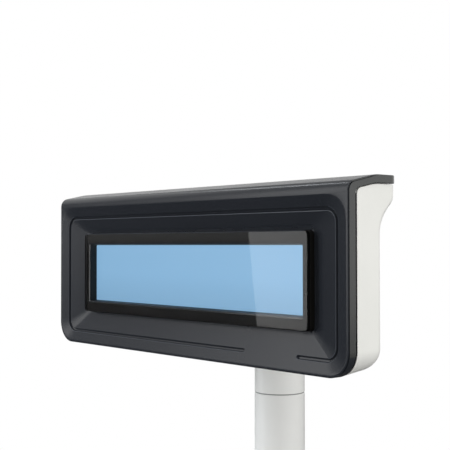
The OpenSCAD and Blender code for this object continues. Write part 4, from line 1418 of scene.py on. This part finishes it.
class POLEDISPLAY_OT_stage(Operator):
    """Sets the camera, the pale floor, the white studio and its light panels"""

    bl_idname = "pole_display.stage"
    bl_label = "Stage"

    sensor = 36.0  # width in millimetres
    horizon = 0.3  # half the height over which the fill from above and from below meet
    floor_rings = (0.05, 0.25, 0.5, 0.75)  # radii in metres
    floor_fade = (0.35, 0.74)  # radii between which the floor fades
    floor_looks = {"Base Color": (0.85, 0.85, 0.85, 1.0), "Roughness": 0.8}
    # start and end of each cloth in degrees, and the radius and height of its rows in metres
    cloths = (
        (0, 360, ((0.13, 0.002), (3.0, 0.002))),
        (170, 360, ((3.0, 0.002), (3.0, 1.5), (3.0, 2.4), (2.4, 3.4), (1.0, 4.2))),
        (130, 170, ((3.0, 1.15), (3.0, 2.4), (2.4, 3.4), (1.0, 4.2))),
    )
    # bounds of the grey card on the cloth: axis, two places in metres, and the values there
    bounds = (
        ("Z", 0.255, 0.35, 0.0, 1.0),
        ("X", -2.78, -2.48, 0.0, 1.0),
        ("X", -1.0, -1.2, 0.0, 1.0),
        ("X", -2.0, -1.8, 1.0, 1.6),
    )
    # the same for the brighter card above it on the left
    high_bounds = (("Z", 1.0, 1.4, 0.0, 1.0), ("X", -2.6, -2.8, 0.0, 2.0))
    card_limit = 2.0  # highest value on a card
    # degrees to the left and up, distance, width and height in metres, brightness, tint, whether gloss
    # mirrors it and whether it lights matt faces
    lamps = {
        "band_card": (-138, -2, 0.6, 0.45, 0.39, "band", "warm", True, False),
        "brow_lamp": (95, 50, 0.8, 0.05, 0.16, "streak", "cool", True, True),
        "side_panel": (-80, 8, 0.8, 0.9, 0.9, "side", "plain", False, True),
        "front_panel": (50, 0, 0.8, 0.5, 0.6, "front", "cool", False, True),
    }

    def execute(self, context):
        stage = context.scene.pole_display_stage
        context.scene.view_settings.view_transform = "Standard"
        self.add_camera(context, stage)
        self.add_world(context, stage)
        self.add_floor()
        self.add_surround(stage)
        self.add_lamps(stage)
        return {"FINISHED"}

    def add_camera(self, context, stage):
        """Puts the camera where the picture was taken from."""
        data = bpy.data.cameras.new("camera")
        data.sensor_width = self.sensor
        data.lens = stage.lens
        obj = bpy.data.objects.new("camera", data)
        place = Matrix.Translation(HEAD + Vector(stage.camera))
        turn = Matrix.Rotation(stage.turn, 4, "Z") @ Matrix.Rotation(math.pi / 2 + stage.rise, 4, "X")
        obj.matrix_world = place @ turn @ Matrix.Rotation(stage.roll, 4, "Z")
        context.scene.collection.objects.link(obj)
        context.scene.camera = obj

    def add_world(self, context, stage):
        """Makes the world white to the eye, and for the rest a fill that is weaker from below."""
        world = bpy.data.worlds.new("studio")
        world.use_nodes = True
        tree = world.node_tree
        up = part_of(tree, coordinate(tree, "Generated"), "Z")
        low, high = stage.fill * stage.fill_low, stage.fill * stage.fill_high
        strength = map_range(tree, up, -self.horizon, self.horizon, low, high)
        fill, white = tree.nodes["Background"], tree.nodes.new("ShaderNodeBackground")
        feed_all(tree, fill, {"Color": WHITE, "Strength": strength})
        feed_all(tree, white, {"Color": WHITE, "Strength": 1.0})
        mixed = mix_shaders(tree, seen_ray(tree), fill.outputs[0], white.outputs[0])
        tree.links.new(mixed, tree.nodes["World Output"].inputs["Surface"])
        context.scene.world = world

    def add_floor(self):
        """Lays a pale round floor that fades into the white round it."""
        skin = Skin()
        rings = []
        for radius in self.floor_rings:
            rings.append(skin.add((x, y, 0.0) for x, y in circle(radius, TURN_STEPS)))
        skin.face(rings[0])
        skin.loops(rings)
        tree, shader = new_material("pale_floor")
        feed_all(tree, shader, self.floor_looks)
        reach = tree.nodes.new("ShaderNodeVectorMath")
        reach.operation = "LENGTH"
        tree.links.new(coordinate(tree, "Object"), reach.inputs[0])
        fade = map_range(tree, reach.outputs["Value"], *self.floor_fade)
        clear = tree.nodes.new("ShaderNodeBsdfTransparent")
        mixed = mix_shaders(tree, fade, shader.outputs[0], clear.outputs[0])
        tree.links.new(mixed, tree.nodes["Material Output"].inputs["Surface"])
        add_stage_piece("floor", skin, "pale_floor", ("glossy", "diffuse"))

    def add_surround(self, stage):
        """Hangs dark cloth round the front and over the floor, which only gloss and glass show."""
        skin = Skin()
        for start, end, rows in self.cloths:
            rings = []
            for radius, height in rows:
                points = arc((0.0, 0.0), radius, start, end, CLOTH_STEPS)
                rings.append(skin.add((x, y, height) for x, y in points))
            skin.runs(rings)
        tree, _ = new_material("studio_cloth")
        cards = [self.card(tree, bounds) for bounds in (self.bounds, self.high_bounds)]
        light = math_node(tree, "MAXIMUM", *cards)
        glow = tree.nodes.new("ShaderNodeEmission")
        limit = self.card_limit
        strength = map_range(tree, light, 0.0, limit, stage.cloth, limit * stage.card)
        feed_all(tree, glow, {"Strength": strength})
        tree.links.new(glow.outputs[0], tree.nodes["Material Output"].inputs["Surface"])
        add_stage_piece("studio_surround", skin, "studio_cloth", ("camera", "diffuse", "shadow"))

    def card(self, tree, bounds):
        """How bright a card on the cloth is, within its bounds."""
        place = coordinate(tree, "Object")
        light = 1.0
        for axis, *limits in bounds:
            light = math_node(tree, "MULTIPLY", map_range(tree, part_of(tree, place, axis), *limits), light)
        return light

    def add_lamps(self, stage):
        """Sets the strip that the window mirrors, and the card and the soft panels round the head."""
        up = Vector((0.0, 0.0, 1.0))
        glare = HEAD + Vector((stage.glare_x, 0.0, HEAD_H / 2))
        ahead = toward(math.degrees(stage.strip_turn), 0)
        right = up.cross(ahead)
        width, height = stage.strip_w, stage.strip_h
        rise = (up - right * math.tan(stage.strip_lean)) * (height / 2 - glare.z)
        place = glare + ahead * stage.strip_reach + right * width / 2 + rise
        add_panel("strip_lamp", place, -ahead, width, height, stage.strip, lean=stage.strip_lean)
        middle = HEAD + up * HEAD_H / 2
        for name, (azimuth, elevation, far, wide, tall, level, tint, seen, lights) in self.lamps.items():
            way = toward(azimuth, elevation)
            brightness, shade = getattr(stage, level), getattr(stage, tint)
            lamp = add_panel(name, middle + way * far, -way, wide, tall, brightness, shade)
            lamp.visible_glossy = seen
            lamp.visible_transmission = seen
            lamp.visible_diffuse = lights


class POLEDISPLAY_PT_build(Panel):
    """Lists the steps that build the display"""

    bl_label = "Pole Display"
    bl_idname = "POLEDISPLAY_PT_build"
    bl_space_type = "VIEW_3D"
    bl_region_type = "UI"
    bl_category = "Pole Display"

    def draw(self, context):
        for step in STEPS:
            self.layout.operator(step.bl_idname)


SETTINGS = {
    "pole_display_front": POLEDISPLAY_PG_front,
    "pole_display_window": POLEDISPLAY_PG_window,
    "pole_display_housing": POLEDISPLAY_PG_housing,
    "pole_display_stand": POLEDISPLAY_PG_stand,
    "pole_display_finish": POLEDISPLAY_PG_finish,
    "pole_display_stage": POLEDISPLAY_PG_stage,
}
STEPS = (
    POLEDISPLAY_OT_stage,
    POLEDISPLAY_OT_finishes,
    POLEDISPLAY_OT_front_shell,
    POLEDISPLAY_OT_window,
    POLEDISPLAY_OT_screen_frame,
    POLEDISPLAY_OT_rear_housing,
    POLEDISPLAY_OT_pole,
    POLEDISPLAY_OT_base_cover,
    POLEDISPLAY_OT_hardware,
)


def register():
    """Registers the settings, the steps and their panel."""
    for group in (*SETTINGS.values(), *STEPS, POLEDISPLAY_PT_build):
        bpy.utils.register_class(group)
    for name, group in SETTINGS.items():
        setattr(bpy.types.Scene, name, PointerProperty(type=group))


def unregister():
    """Takes them away again."""
    for name in SETTINGS:
        delattr(bpy.types.Scene, name)
    for group in (POLEDISPLAY_PT_build, *reversed(STEPS), *SETTINGS.values()):
        bpy.utils.unregister_class(group)


def main():
    """Builds the display."""
    register()
    bpy.ops.pole_display.stage()
    bpy.ops.pole_display.finishes()
    bpy.ops.pole_display.front_shell()
    bpy.ops.pole_display.window()
    bpy.ops.pole_display.screen_frame()
    bpy.ops.pole_display.rear_housing()
    bpy.ops.pole_display.pole()
    bpy.ops.pole_display.base_cover()
    bpy.ops.pole_display.hardware()


if __name__ == "__main__":
    main()
